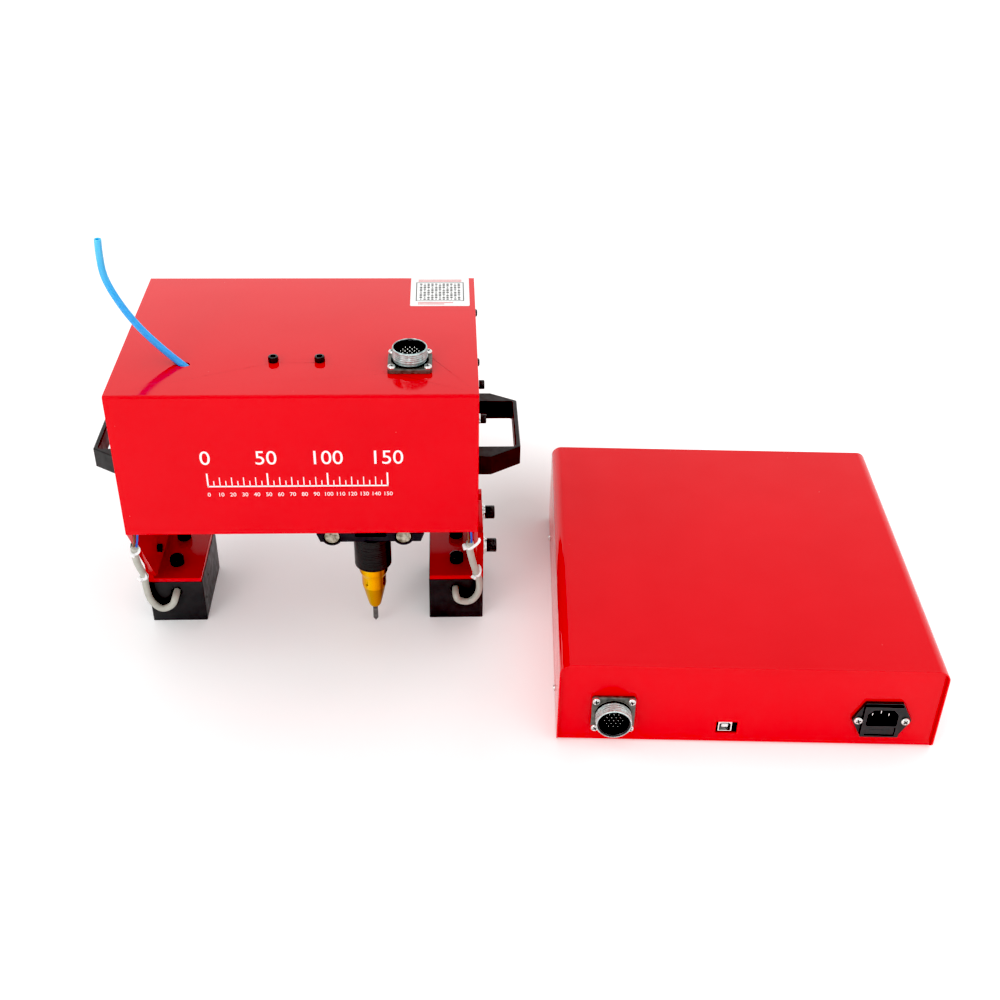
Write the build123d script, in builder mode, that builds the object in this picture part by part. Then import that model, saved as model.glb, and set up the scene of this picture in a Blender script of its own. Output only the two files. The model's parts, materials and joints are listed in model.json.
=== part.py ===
from build123d import *
import os

os.makedirs("parts", exist_ok=True)

# ---------------------------------------------------------------------------
# Marking head on two electromagnet feet, with its separate controller box.
# Head coordinates while drawing: x = 0 on the head's middle plane, y = 0 on
# the cover's front face, z = 0 on the surface that the feet stand on.
# ---------------------------------------------------------------------------

# head cover
HW = 151.0          # half width of the head
HD = 222.0          # depth of the head
ZB = 147.6          # bottom edge of the cover
ZT = 283.9          # top of the cover
T = 1.5             # cover sheet
SPT = 5.0           # side plate thickness
BUTTON_Y = (90.0, 185.0)             # cover screws
GRIP_Y, GRIP_Z = (74.5, 170.0), 173.7    # handle screws

# feet
MAG_OUT = 157.6     # outer face of a magnet
MAG_W = 51.2
MAG_Y0, MAG_Y1 = 64.0, 148.0
MAG_H = 46.5
BRK_T = 4.2         # foot bracket, flange on the magnet
BRK_U = 6.5         # foot bracket, upright
BRK_TOP = 95.0
BOLT_Y = (76.0, 130.0)
BOLT_Z = 77.5
CAB_X, CAB_Z = 131.5, 34.9   # where the cable leaves the magnet

# x axis
XR_Y = (83.0, 144.0)
XR_Z = 212.0
XR_R = 6.0
XS_Y = 113.5
SCREW_R = 4.0
LEAD = 8.0          # both lead screws, mm per turn

# carriage and y axis, drawn with the stylus where the photographed head has it
CX = 52.5
STY_X = 55.3         # stylus axis
YR_DX = 32.2
YR_Z = 114.4
YR_R = 7.3
YS_Z = 166.0
PLATE_Y0, PLATE_Y1 = 40.0, 54.0
STY_Y = 56.0
TIE_Y0, TIE_Y1 = 173.0, 181.0

# connectors
CON_X, CON_Y = 94.2, 52.4
CON_SQ = 37.0
CON_P = 15.0        # flange screw offset
CON_SY, CON_PY = 33.5, 13.2   # the head's flange is shallower front to back
CON_T = 4.0         # and thicker
RING_RO, RING_RI = 15.3, 13.1

# air tube, 6 mm
TUBE_R = 3.0
TUBE_PTS = [
    (-38.0, 43.2, 262.0),
    (-68.7, 45.6, 264.7),
    (-109.2, 58.2, 293.3),
    (-134.9, 67.2, 317.8),
    (-152.4, 73.6, 347.6),
    (-155.4, 75.1, 367.0),
    (-153.9, 74.8, 386.4),
]

# controller box, drawn in its own axes and turned a little on the table
CW, CD, CH = 324.3, 337.6, 88.8
CT = 1.5
REC = 3.4           # panel recess behind the cover's front edge
C_POS = (216.75, -107.1, 0.0)
C_TURN = -2.73
ROC_X, ROC_Z = 48.0, 34.0    # rocker switch on the far panel

# origin of the finished part: middle of the base of the whole set
OX, OY = 183.0, 53.6
HEAD = Location((-OX, -OY, 0))
CTRL = Location((C_POS[0] - OX, C_POS[1] - OY, 0), (0, 0, C_TURN))


def along_x(x, y, z, s=1):
    """plane at (x, y, z) whose normal points along +x (or -x)"""
    return Plane(origin=(x, y, z), x_dir=(0, 1, 0), z_dir=(s, 0, 0))


def along_y(x, y, z, s=1):
    return Plane(origin=(x, y, z), x_dir=(1, 0, 0), z_dir=(0, s, 0))


def along_z(x, y, z, s=1):
    return Plane(origin=(x, y, z), x_dir=(1, 0, 0), z_dir=(0, 0, s))


def save(part, label, where=HEAD):
    placed = part.moved(where)
    placed.label = label
    export_step(placed, "parts/" + label + ".step")


def cord_radii(pts):
    """largest tangent arcs that the runs of a route allow"""
    import math
    v = [Vector(*p) for p in pts]
    out = []
    for a, b, c in zip(v, v[1:], v[2:]):
        turn = (b - a).get_angle(c - b)
        out.append(0.45 * min((b - a).length, (c - b).length)
                   / math.tan(math.radians(turn) / 2))
    return out


def socket_screws(planes, head_r, head_h, shank_r, length, socket):
    """socket cap screws seated on the given planes, heads along their normals"""
    with BuildPart() as screws:
        with BuildSketch(*planes):
            Circle(head_r)
        extrude(amount=head_h)
        with BuildSketch(*planes):
            Circle(shank_r)
        extrude(amount=-length)
        with BuildSketch(*[p.offset(head_h) for p in planes]):
            RegularPolygon(socket / 2, 6, major_radius=False)
        extrude(amount=-head_h * 0.5, mode=Mode.SUBTRACT)
    return screws


def cross_screws(planes, head_r, head_h, shank_r, length):
    """pan head screws with a cross recess"""
    with BuildPart() as screws:
        with BuildSketch(*planes):
            Circle(head_r)
        extrude(amount=head_h, taper=18)
        with BuildSketch(*planes):
            Circle(shank_r)
        extrude(amount=-length)
        with BuildSketch(*[p.offset(head_h) for p in planes]):
            Rectangle(head_r * 1.0, head_r * 0.22)
            Rectangle(head_r * 0.22, head_r * 1.0)
        extrude(amount=-head_h * 0.5, mode=Mode.SUBTRACT)
    return screws


def pin_grid(pitch):
    """nineteen places in rows of three, four, five, four and three"""
    places = []
    for row, count in ((-2, 3), (-1, 4), (0, 5), (1, 4), (2, 3)):
        for i in range(count):
            places.append(((i - (count - 1) / 2) * pitch, row * pitch * 0.866))
    return places


# ---------------------------------------------------------------------------
# HEAD: cover and frame
# ---------------------------------------------------------------------------

# one sheet bent twice: front, top and back, with two tabs for its screws
with BuildPart() as head_cover:
    with BuildSketch(along_x(-HW, 0, 0)):
        with BuildLine():
            Polyline((0, ZB), (0, ZT), (HD, ZT), (HD, ZB), (HD - T, ZB),
                     (HD - T, ZT - T), (T, ZT - T), (T, ZB), close=True)
        make_face()
    extrude(amount=2 * HW)
    bends = head_cover.edges().filter_by(Axis.X).filter_by_position(Axis.Z, ZT - 2 * T, ZT + 1)
    fillet([e for e in bends if abs(e.center().Z - ZT) < 0.1], radius=2.6)
    fillet([e for e in head_cover.edges().filter_by(Axis.X)
            if abs(e.center().Z - (ZT - T)) < 0.1 and 0.1 < min(e.center().Y, HD - e.center().Y) < 2],
           radius=1.1)
    for side in (-1, 1):
        with Locations((side * (HW - SPT - 0.1 - 0.75), 137.5, ZT - T / 2 - 13)):
            Box(1.5, 119, 26)
    # connector opening and its four screws
    with Locations((CON_X, CON_Y, ZT)):
        Hole(13.8, depth=3)
    with Locations(*[(CON_X + i * CON_P, CON_Y + j * CON_PY, ZT) for i in (-1, 1) for j in (-1, 1)]):
        Hole(2.05, depth=3)
    # valve screws
    with Locations((-20.3, 58.5, ZT), (18.4, 58.5, ZT)):
        Hole(2.7, depth=3)
    # slanted hole for the air tube
    with BuildSketch(Plane(origin=(-94.9, 53.8, ZT - T / 2),
                           z_dir=(-40.5, 12.6, 28.6))):
        Circle(4.0)
    extrude(amount=9, both=True, mode=Mode.SUBTRACT)
    # cover screw holes in the tabs
    for side in (-1, 1):
        with BuildSketch(along_x(side * (HW - SPT - 3), 0, 0)):
            with Locations((BUTTON_Y[0], 265), (BUTTON_Y[1], 265)):
                Circle(2.05)
        extrude(amount=side * 3, mode=Mode.SUBTRACT)
save(head_cover.part, "head_cover")

# frame plates: they close the cover's ends and run down to the feet
with BuildPart() as side_plate_right:
    with BuildSketch(along_x(HW - SPT, 0, 0)):
        with BuildLine():
            Polyline((3.4, ZT - T - 0.2), (1.8, ZT - T - 1.8), (1.8, ZB - 0.6), (57, 58), (155, 58),
                     (HD - 1.8, ZB - 0.6), (HD - 1.8, ZT - T - 1.8), (HD - 3.4, ZT - T - 0.2), close=True)
        make_face()
    extrude(amount=SPT)
    with BuildSketch(along_x(HW - SPT - 1, 0, 0)):
        with Locations((XR_Y[0], XR_Z), (XR_Y[1], XR_Z)):
            Circle(2.6)
        with Locations((GRIP_Y[0], GRIP_Z), (GRIP_Y[1], GRIP_Z)):
            Circle(2.6)
        with Locations((BUTTON_Y[0], 265), (BUTTON_Y[1], 265)):
            Circle(2.05)
        with Locations((BOLT_Y[0], BOLT_Z), (BOLT_Y[1], BOLT_Z)):
            Circle(4.05)
    extrude(amount=SPT + 2, mode=Mode.SUBTRACT)
    chamfer(side_plate_right.edges().filter_by(Axis.X).filter_by_position(Axis.Z, 50, 60), length=3)
save(side_plate_right.part, "side_plate_right")

with BuildPart() as side_plate_left:
    mirror(side_plate_right.part, about=Plane.YZ)
save(side_plate_left.part, "side_plate_left")

# ---------------------------------------------------------------------------
# FEET
# ---------------------------------------------------------------------------

# foot bracket: bent plate, flange on the magnet, upright with two open slots
with BuildPart() as foot_bracket_right:
    xo, xi = MAG_OUT, MAG_OUT - BRK_U
    zl, zu = MAG_H + 0.05, MAG_H + 0.05 + BRK_T
    with BuildSketch(along_y(0, MAG_Y0, 0, -1)):
        with BuildLine():
            Polyline((MAG_OUT - MAG_W + 0.8, zl), (xo, zl), (xo, BRK_TOP), (xi, BRK_TOP),
                     (xi, zu), (MAG_OUT - MAG_W + 0.8, zu), close=True)
        make_face()
    extrude(amount=-(MAG_Y1 - MAG_Y0))
    long_edges = foot_bracket_right.edges().filter_by(Axis.Y)
    fillet([e for e in long_edges if abs(e.center().X - xo) < 0.1 and abs(e.center().Z - zl) < 0.1], radius=3.4)
    fillet([e for e in foot_bracket_right.edges().filter_by(Axis.Y)
            if abs(e.center().X - xi) < 0.1 and abs(e.center().Z - zu) < 0.1], radius=1.2)
    fillet([e for e in foot_bracket_right.edges().filter_by(Axis.X) if abs(e.center().Z - BRK_TOP) < 0.1],
           radius=5)
    with BuildSketch(along_x(xi - 1, 0, 0)):
        for by in BOLT_Y:
            with Locations((by, BOLT_Z - 7.5)):
                Circle(4.4)
            with Locations((by, (BOLT_Z - 7.5 + BRK_TOP + 2) / 2)):
                Rectangle(8.8, BRK_TOP + 2 - BOLT_Z + 7.5)
    extrude(amount=BRK_U + 2, mode=Mode.SUBTRACT)
    with Locations((132.7, 87.5, zu), (132.7, 128.5, zu)):
        Hole(4.5, depth=BRK_T + 1)
save(foot_bracket_right.part, "foot_bracket_right")

with BuildPart() as foot_bracket_left:
    mirror(foot_bracket_right.part, about=Plane.YZ)
save(foot_bracket_left.part, "foot_bracket_left")

# magnet: steel block with a centre pole, and a groove for the coil
MAG_XC = MAG_OUT - MAG_W / 2
MAG_YC = (MAG_Y0 + MAG_Y1) / 2
with BuildPart() as magnet_body_right:
    with Locations((MAG_XC, MAG_YC, MAG_H / 2)):
        Box(MAG_W, MAG_Y1 - MAG_Y0, MAG_H)
    chamfer(magnet_body_right.edges().filter_by(Axis.Z), length=0.8)
    chamfer(magnet_body_right.edges().group_by(Axis.Z)[-1], length=0.6)
    with BuildSketch(along_z(MAG_XC, MAG_YC, 0)):
        Rectangle(37, 72)
        Rectangle(17, 52, mode=Mode.SUBTRACT)
    extrude(amount=36, mode=Mode.SUBTRACT)
    with BuildSketch(along_z(0, 0, MAG_H)):
        with Locations((132.7, 87.5), (132.7, 128.5)):
            Circle(4.05)
    extrude(amount=-9, mode=Mode.SUBTRACT)
    with BuildSketch(along_y(CAB_X, MAG_Y0, CAB_Z)):
        Circle(4.2)
    extrude(amount=6.5, mode=Mode.SUBTRACT)
    with BuildSketch(along_x(MAG_OUT - MAG_W, 0, 0)):
        with Locations((74, 20), (92, 33)):
            Circle(1.4)
    extrude(amount=3, mode=Mode.SUBTRACT)
save(magnet_body_right.part, "magnet_body_right")

with BuildPart() as magnet_body_left:
    mirror(magnet_body_right.part, about=Plane.YZ)
save(magnet_body_left.part, "magnet_body_left")

# coil ring, potted flush with the poles less a millimetre
with BuildPart() as magnet_coil_right:
    with BuildSketch(along_z(MAG_XC, MAG_YC, 1)):
        Rectangle(36.8, 71.8)
        Rectangle(17.2, 52.2, mode=Mode.SUBTRACT)
    extrude(amount=34.5)
save(magnet_coil_right.part, "magnet_coil_right")

with BuildPart() as magnet_coil_left:
    mirror(magnet_coil_right.part, about=Plane.YZ)
save(magnet_coil_left.part, "magnet_coil_left")

# magnet cables: sheath from the magnet's front face up past the bracket, then
# a blue and a brown lead into the cover
CABLE_R = 3.2
ROUTE_L = [
    (-CAB_X, MAG_Y0 + 5, CAB_Z), (-CAB_X, 55.0, CAB_Z - 0.2), (-135.4, 57.0, 24.0),
    (-147.0, 59.3, 16.5), (-156.6, 59.5, 28.0), (-157.8, 57.0, 47.0), (-154.8, 49.0, 66.0),
    (-154.4, 35.5, 85.5), (-152.0, 21.5, 104.0), (-149.0, 8.3, 123.0), (-146.0, 4.0, 132.0),
]
ROUTE_R = [
    (CAB_X, MAG_Y0 + 5, CAB_Z), (131.2, 54.8, CAB_Z - 0.7), (134.4, 57.0, 25.8),
    (145.8, 59.5, 22.2), (153.8, 59.0, 34.0), (154.0, 55.0, 51.5), (151.7, 45.8, 66.0),
    (148.5, 33.0, 84.5), (145.5, 19.0, 106.0), (143.5, 7.8, 125.0), (144.0, 4.0, 133.5),
]
# the leads start on the sheath's cut end, side by side, and turn up behind the front sheet
LEAD_R = 0.9
LEADS_L = [[(-144.2, 3.6, 147.0), (-143.6, 4.8, 159.0), (-142.0, 8.0, 171.0)],
           [(-141.9, 3.8, 147.0), (-141.0, 6.0, 159.0), (-138.6, 9.6, 171.0)]]
LEADS_R = [[(144.4, 3.6, 148.0), (143.6, 4.6, 159.0), (142.0, 8.0, 170.0)],
           [(142.1, 3.8, 148.0), (141.0, 6.0, 159.0), (138.6, 9.6, 170.0)]]


def lead_route(route, side, rest):
    """first two points of a lead, square to the sheath's end, then the rest"""
    end, before = Vector(*route[-1]), Vector(*route[-2])
    along = (end - before).normalized()
    across = (Vector(1, 0, 0) - along * along.X).normalized()
    start = end + across * (1.3 * side)
    return [tuple(start), tuple(start + along * 6)] + list(rest)


with BuildPart() as magnet_cable_left:
    with BuildLine() as run_l:
        FilletPolyline(*ROUTE_L, radius=cord_radii(ROUTE_L))
    with BuildSketch(Plane(origin=run_l.line @ 0, z_dir=run_l.line % 0)):
        Circle(CABLE_R)
    sweep(path=run_l.line)
with BuildPart() as magnet_cable_right:
    with BuildLine() as run_r:
        FilletPolyline(*ROUTE_R, radius=cord_radii(ROUTE_R))
    with BuildSketch(Plane(origin=run_r.line @ 0, z_dir=run_r.line % 0)):
        Circle(CABLE_R)
    sweep(path=run_r.line)


def lead_wire(points):
    with BuildPart() as wire:
        with BuildLine() as run:
            FilletPolyline(*points, radius=cord_radii(points))
        with BuildSketch(Plane(origin=run.line @ 0, z_dir=run.line % 0)):
            Circle(LEAD_R)
        sweep(path=run.line)
    return wire.part


def cable_and_leads(sheath, route, leads):
    """the sheath and its two leads, three solids that touch at the sheath's end"""
    group = [sheath] + [lead_wire(lead_route(route, side, rest)) for side, rest in zip((-1, 1), leads)]
    return Compound(children=[s for g in group for s in g.solids()])


save(cable_and_leads(magnet_cable_left.part, ROUTE_L, LEADS_L), "magnet_cable_left")
save(cable_and_leads(magnet_cable_right.part, ROUTE_R, LEADS_R[::-1]), "magnet_cable_right")

# nylon ties: two round each cable
TIES_L = (0.515, 0.962)     # where the ties sit, as shares of each cable
TIES_R = (0.520, 0.964)


def tie_rings(run, spots):
    with BuildPart() as rings:
        for t in spots:
            with BuildSketch(Plane(origin=run.line @ t, z_dir=run.line % t)):
                Circle(CABLE_R + 0.8)
                Circle(CABLE_R + 0.05, mode=Mode.SUBTRACT)
            extrude(amount=1.3, both=True)
    return rings.part


save(tie_rings(run_l, TIES_L), "cable_ties_left")
save(tie_rings(run_r, TIES_R), "cable_ties_right")

# M8 socket screws that hold each bracket to its magnet
magnet_screws_right = socket_screws([along_z(132.7, y, MAG_H + 0.05 + BRK_T) for y in (87.5, 128.5)],
                                    6.5, 8.0, 4.0, 10.5, 6.0)
save(magnet_screws_right.part, "magnet_screws_right")
magnet_screws_left = socket_screws([along_z(-132.7, y, MAG_H + 0.05 + BRK_T) for y in (87.5, 128.5)],
                                   6.5, 8.0, 4.0, 10.5, 6.0)
save(magnet_screws_left.part, "magnet_screws_left")

# M8 clamp bolts through the slots into the side plates, with flat and spring washers
SEAT = MAG_OUT + 3.4
clamp_bolts = socket_screws([along_x(s * SEAT, y, BOLT_Z, s) for s in (-1, 1) for y in BOLT_Y],
                            6.5, 9.2, 4.0, 19.5, 6.0)
save(clamp_bolts.part, "clamp_bolts")

with BuildPart() as bolt_washers:
    with BuildSketch(*[along_x(s * (MAG_OUT + 0.1), y, BOLT_Z, s) for s in (-1, 1) for y in BOLT_Y]):
        Circle(8.3)
        Circle(4.2, mode=Mode.SUBTRACT)
    extrude(amount=1.6)
    with BuildSketch(*[along_x(s * (MAG_OUT + 1.75), y, BOLT_Z, s) for s in (-1, 1) for y in BOLT_Y]):
        Circle(7.0)
        Circle(4.15, mode=Mode.SUBTRACT)
    extrude(amount=1.6)
    # flat and spring washers under the rod end screws
    with BuildSketch(*[along_x(s * (HW + 0.05), y, XR_Z, s) for s in (-1, 1) for y in XR_Y]):
        Circle(5.0)
        Circle(2.6, mode=Mode.SUBTRACT)
    extrude(amount=1.9)
    with BuildSketch(*[along_x(s * (HW + 2.0), y, XR_Z, s) for s in (-1, 1) for y in XR_Y]):
        Circle(4.4)
        Circle(2.6, mode=Mode.SUBTRACT)
    extrude(amount=1.45)
save(bolt_washers.part, "bolt_washers")

# ---------------------------------------------------------------------------
# HANDLES and frame screws
# ---------------------------------------------------------------------------
H_OUT = HW + 39.8
GRIP_Z0, GRIP_H = 164.0, 19.5
with BuildPart() as handle_right:
    with BuildSketch(along_z(0, 0, GRIP_Z0)):
        with BuildLine():
            Polyline((HW, 64.8), (HW + 13, 64.8), (H_OUT, 82.5), (H_OUT, 163.8), (HW + 15, 178), (HW, 178),
                     close=True)
        make_face()
        with BuildLine():
            Polyline((HW - 1, 82.5), (H_OUT - 4.6, 82.5), (H_OUT - 4.6, 162), (HW - 1, 162), close=True)
        make_face(mode=Mode.SUBTRACT)
    extrude(amount=GRIP_H)
    fillet([e for e in handle_right.edges().filter_by(Axis.Z) if e.center().X > H_OUT - 1], radius=1.5)
    fillet([e for e in handle_right.edges().filter_by(Axis.Z) if abs(e.center().X - H_OUT + 4.6) < 0.05], radius=2.5)
    chamfer([e for e in handle_right.edges() if e.center().X > HW + 1
             and (abs(e.center().Z - GRIP_Z0) < 0.05 or abs(e.center().Z - GRIP_Z0 - GRIP_H) < 0.05)], length=0.8)
    with BuildSketch(along_x(HW, 0, 0)):
        with Locations((GRIP_Y[0], GRIP_Z), (GRIP_Y[1], GRIP_Z)):
            Circle(2.5)
    extrude(amount=12, mode=Mode.SUBTRACT)
save(handle_right.part, "handle_right")

with BuildPart() as handle_left:
    mirror(handle_right.part, about=Plane.YZ)
save(handle_left.part, "handle_left")

# M5 socket screws: rod ends from outside, handles from inside, valve from above
m5_cap_screws = socket_screws(
    [along_x(s * (HW + 3.5), y, XR_Z, s) for s in (-1, 1) for y in XR_Y]
    + [along_x(s * (HW - SPT), y, GRIP_Z, -s) for s in (-1, 1) for y in GRIP_Y]
    + [along_z(x, 58.5, ZT) for x in (-20.3, 18.4)],
    4.25, 5.0, 2.5, 15.0, 4.0)
save(m5_cap_screws.part, "m5_cap_screws")

# M4 button screws that hold the cover's tabs
m4_button_screws = socket_screws([along_x(s * HW, y, 265, s) for s in (-1, 1) for y in BUTTON_Y],
                                 3.8, 2.4, 2.0, 8.0, 2.5)
save(m4_button_screws.part, "m4_button_screws")

# ---------------------------------------------------------------------------
# HEAD connector on the top
# ---------------------------------------------------------------------------
with BuildPart() as head_connector_shell:
    with BuildSketch(along_z(CON_X, CON_Y, ZT)):
        RectangleRounded(CON_SQ, CON_SY, 2.5)
    extrude(amount=CON_T)
    with BuildSketch(along_z(CON_X, CON_Y, ZT - 16)):
        Circle(13.6)
    extrude(amount=17)
    with BuildSketch(along_z(CON_X, CON_Y, ZT + CON_T)):
        Circle(14.2)
    extrude(amount=3)
    with BuildSketch(along_z(CON_X, CON_Y, ZT + CON_T + 3)):
        Circle(14.8)
    extrude(amount=10)
    with BuildSketch(along_z(CON_X, CON_Y, ZT - 17)):
        Circle(12.0)
    extrude(amount=17, mode=Mode.SUBTRACT)
    with BuildSketch(along_z(CON_X, CON_Y, ZT - 0.5)):
        Circle(RING_RI)
    extrude(amount=24, mode=Mode.SUBTRACT)
    with Locations(*[(CON_X + i * CON_P, CON_Y + j * CON_PY, ZT + CON_T) for i in (-1, 1) for j in (-1, 1)]):
        Hole(2.05, depth=5)
    rim = head_connector_shell.edges().filter_by(GeomType.CIRCLE).group_by(Axis.Z)[-1]
    chamfer(rim, length=0.7)
save(head_connector_shell.part, "head_connector_shell")

with BuildPart() as head_connector_core:
    with BuildSketch(along_z(CON_X, CON_Y, ZT - 0.5)):
        Circle(RING_RI)
        with Locations(*pin_grid(3.9)):
            Circle(0.8, mode=Mode.SUBTRACT)
    extrude(amount=9.5)
save(head_connector_core.part, "head_connector_core")

with BuildPart() as head_connector_pins:
    with BuildSketch(along_z(CON_X, CON_Y, ZT - 12)):
        with Locations(*pin_grid(3.9)):
            Circle(0.8)
    extrude(amount=12 + 13.0)
save(head_connector_pins.part, "head_connector_pins")

head_connector_screws = cross_screws(
    [along_z(CON_X + i * CON_P, CON_Y + j * CON_PY, ZT + CON_T) for i in (-1, 1) for j in (-1, 1)],
    3.6, 2.4, 2.0, 9.0)
save(head_connector_screws.part, "head_connector_screws")

# ---------------------------------------------------------------------------
# HEAD: x axis
# ---------------------------------------------------------------------------
with BuildPart() as x_rods:
    with BuildSketch(*[along_x(-(HW - SPT) + 0.05, y, XR_Z) for y in XR_Y]):
        Circle(XR_R)
    extrude(amount=2 * (HW - SPT) - 0.1)
    with BuildSketch(*[along_x(-(HW - SPT), y, XR_Z) for y in XR_Y]):
        Circle(2.55)
    extrude(amount=14, mode=Mode.SUBTRACT)
    with BuildSketch(*[along_x(HW - SPT, y, XR_Z) for y in XR_Y]):
        Circle(2.55)
    extrude(amount=-14, mode=Mode.SUBTRACT)
save(x_rods.part, "x_rods")

with BuildPart() as x_motor:
    with BuildSketch(along_x(-(HW - SPT) + 0.05, XS_Y, XR_Z)):
        Rectangle(42.3, 42.3)
        chamfer(vertices(), length=4)
    extrude(amount=34)
    with BuildSketch(along_x(-(HW - SPT) + 34.05, XS_Y, XR_Z)):
        Circle(SCREW_R + 0.3)
    extrude(amount=-30, mode=Mode.SUBTRACT)
save(x_motor.part, "x_motor")

with BuildPart() as x_end_bearing:
    with BuildSketch(along_x(HW - SPT - 0.05, XS_Y, XR_Z, -1)):
        RectangleRounded(32, 32, 4)
        Circle(SCREW_R + 0.05, mode=Mode.SUBTRACT)
    extrude(amount=8)
save(x_end_bearing.part, "x_end_bearing")

with BuildPart() as x_lead_screw:
    with BuildSketch(along_x(-(HW - SPT) + 6, XS_Y, XR_Z)):
        Circle(SCREW_R)
    extrude(amount=2 * (HW - SPT) - 7.5)
    chamfer(x_lead_screw.edges().filter_by(GeomType.CIRCLE), length=0.6)
save(x_lead_screw.part, "x_lead_screw")

# ---------------------------------------------------------------------------
# CARRIAGE
# ---------------------------------------------------------------------------
with BuildPart() as x_carriage:
    # upper block on the x rods
    with Locations((CX, XS_Y, XR_Z)):
        Box(70, 89, 30)
    # cheeks down to the lower block
    with Locations((CX - 30, 114, 162), (CX + 30, 114, 162)):
        Box(10, 50, 72)
    # wall behind the motor pocket, which holds the y nut
    with Locations((CX, 133, 162)):
        Box(60, 12, 72)
    # lower bearing housings and their bridge
    with Locations((CX - 32.5, 114, YR_Z - 0.4), (CX + 32.5, 114, YR_Z - 0.4)):
        Box(25, 50, 26)
    with Locations((CX, 125.5, YR_Z - 0.4)):
        Box(60, 27, 26)
    chamfer(x_carriage.edges().filter_by(Axis.Y).filter_by_position(Axis.Z, 100, 102), length=3)
    # bores
    with BuildSketch(*[along_x(CX - 36, y, XR_Z) for y in XR_Y]):
        Circle(10.5)
    extrude(amount=72, mode=Mode.SUBTRACT)
    with BuildSketch(*[along_y(CX + s * YR_DX, 88, YR_Z) for s in (-1, 1)]):
        Circle(10.0)
    extrude(amount=52, mode=Mode.SUBTRACT)
    with BuildSketch(along_x(CX - 36, XS_Y, XR_Z)):
        Circle(5.1)
    extrude(amount=72, mode=Mode.SUBTRACT)
    with BuildSketch(along_y(CX, 126, YS_Z)):
        Circle(5.1)
    extrude(amount=14, mode=Mode.SUBTRACT)
save(x_carriage.part, "x_carriage")

# plain bushes: 12 mm pair on each x rod, 14 mm pair on each y rod
with BuildPart() as guide_bushes:
    with BuildSketch(*[along_x(x, y, XR_Z) for x in (CX - 35, CX + 9) for y in XR_Y]):
        Circle(10.5)
        Circle(XR_R + 0.05, mode=Mode.SUBTRACT)
    extrude(amount=26)
    with BuildSketch(*[along_y(CX + s * YR_DX, y, YR_Z) for s in (-1, 1) for y in (89, 117)]):
        Circle(10.0)
        Circle(YR_R + 0.05, mode=Mode.SUBTRACT)
    extrude(amount=22)
save(guide_bushes.part, "guide_bushes")

# flanged nuts, one for each lead screw
with BuildPart() as lead_nuts:
    with BuildSketch(along_x(CX + 20, XS_Y, XR_Z)):
        Circle(5.1)
    extrude(amount=15)
    with BuildSketch(along_x(CX + 35, XS_Y, XR_Z)):
        Circle(11)
    extrude(amount=3.5)
    with BuildSketch(along_x(CX + 18, XS_Y, XR_Z)):
        Circle(SCREW_R + 0.05)
    extrude(amount=22, mode=Mode.SUBTRACT)
    with BuildSketch(along_y(CX, 127.5, YS_Z)):
        Circle(5.1)
    extrude(amount=11.5)
    with BuildSketch(along_y(CX, 139, YS_Z)):
        Circle(10)
    extrude(amount=2.8)
    with BuildSketch(along_y(CX, 125, YS_Z)):
        Circle(SCREW_R + 0.05)
    extrude(amount=20, mode=Mode.SUBTRACT)
save(lead_nuts.part, "lead_nuts")

# ---------------------------------------------------------------------------
# Y SLIDE: front plate, rods, tie plate, motor, stylus
# ---------------------------------------------------------------------------
with BuildPart() as stylus_holder:
    with BuildSketch(along_y(CX, PLATE_Y1, 0, -1)):
        with BuildLine():
            Polyline((-42.7, 109), (47.7, 109), (50.9, 117.5), (50.9, 140), (24, 150), (24, 189),
                     (-24, 189), (-24, 150), (-45.9, 140), (-45.9, 117.5), close=True)
        make_face()
        with Locations((-YR_DX, YR_Z), (YR_DX, YR_Z)):
            Circle(9.4)
    extrude(amount=PLATE_Y1 - PLATE_Y0)
    # boss that the stylus screws into
    with Locations((STY_X, (PLATE_Y1 + 76) / 2, 118)):
        Box(32, 76 - PLATE_Y1, 18)
    # pocket in the front face
    with BuildSketch(along_y(CX, PLATE_Y0, 0)):
        with Locations((2.8, -132.5)):
            Rectangle(27, 35)
    extrude(amount=6, mode=Mode.SUBTRACT)
    # rod bores, stylus seat and air way
    with BuildSketch(*[along_y(CX + s * YR_DX, PLATE_Y0 - 1, YR_Z) for s in (-1, 1)]):
        Circle(YR_R)
    extrude(amount=16, mode=Mode.SUBTRACT)
    with BuildSketch(along_z(STY_X, STY_Y, 108)):
        Circle(9.0)
    extrude(amount=14, mode=Mode.SUBTRACT)
    with BuildSketch(along_z(CX, 70, 118)):
        Circle(2.5)
    extrude(amount=12, mode=Mode.SUBTRACT)
    with BuildSketch(along_y(CX, 60, 120)):
        Circle(1.8)
    extrude(amount=11, mode=Mode.SUBTRACT)
save(stylus_holder.part, "stylus_holder")

with BuildPart() as y_rods:
    with BuildSketch(*[along_y(CX + s * YR_DX, PLATE_Y0, YR_Z) for s in (-1, 1)]):
        Circle(YR_R)
    extrude(amount=TIE_Y1 - PLATE_Y0)
    chamfer(y_rods.edges().filter_by(GeomType.CIRCLE), length=0.7)
save(y_rods.part, "y_rods")

with BuildPart() as y_tie_plate:
    with BuildSketch(along_y(CX, TIE_Y1, 0, -1)):
        with BuildLine():
            Polyline((-43, 104), (43, 104), (43, 125), (16, 138), (13, 176), (-13, 176), (-16, 138),
                     (-43, 125), close=True)
        make_face()
        with Locations((-YR_DX, YR_Z), (YR_DX, YR_Z)):
            Circle(YR_R, mode=Mode.SUBTRACT)
        with Locations((0, YS_Z)):
            Circle(SCREW_R + 0.05, mode=Mode.SUBTRACT)
    extrude(amount=TIE_Y1 - TIE_Y0)
save(y_tie_plate.part, "y_tie_plate")

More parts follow.
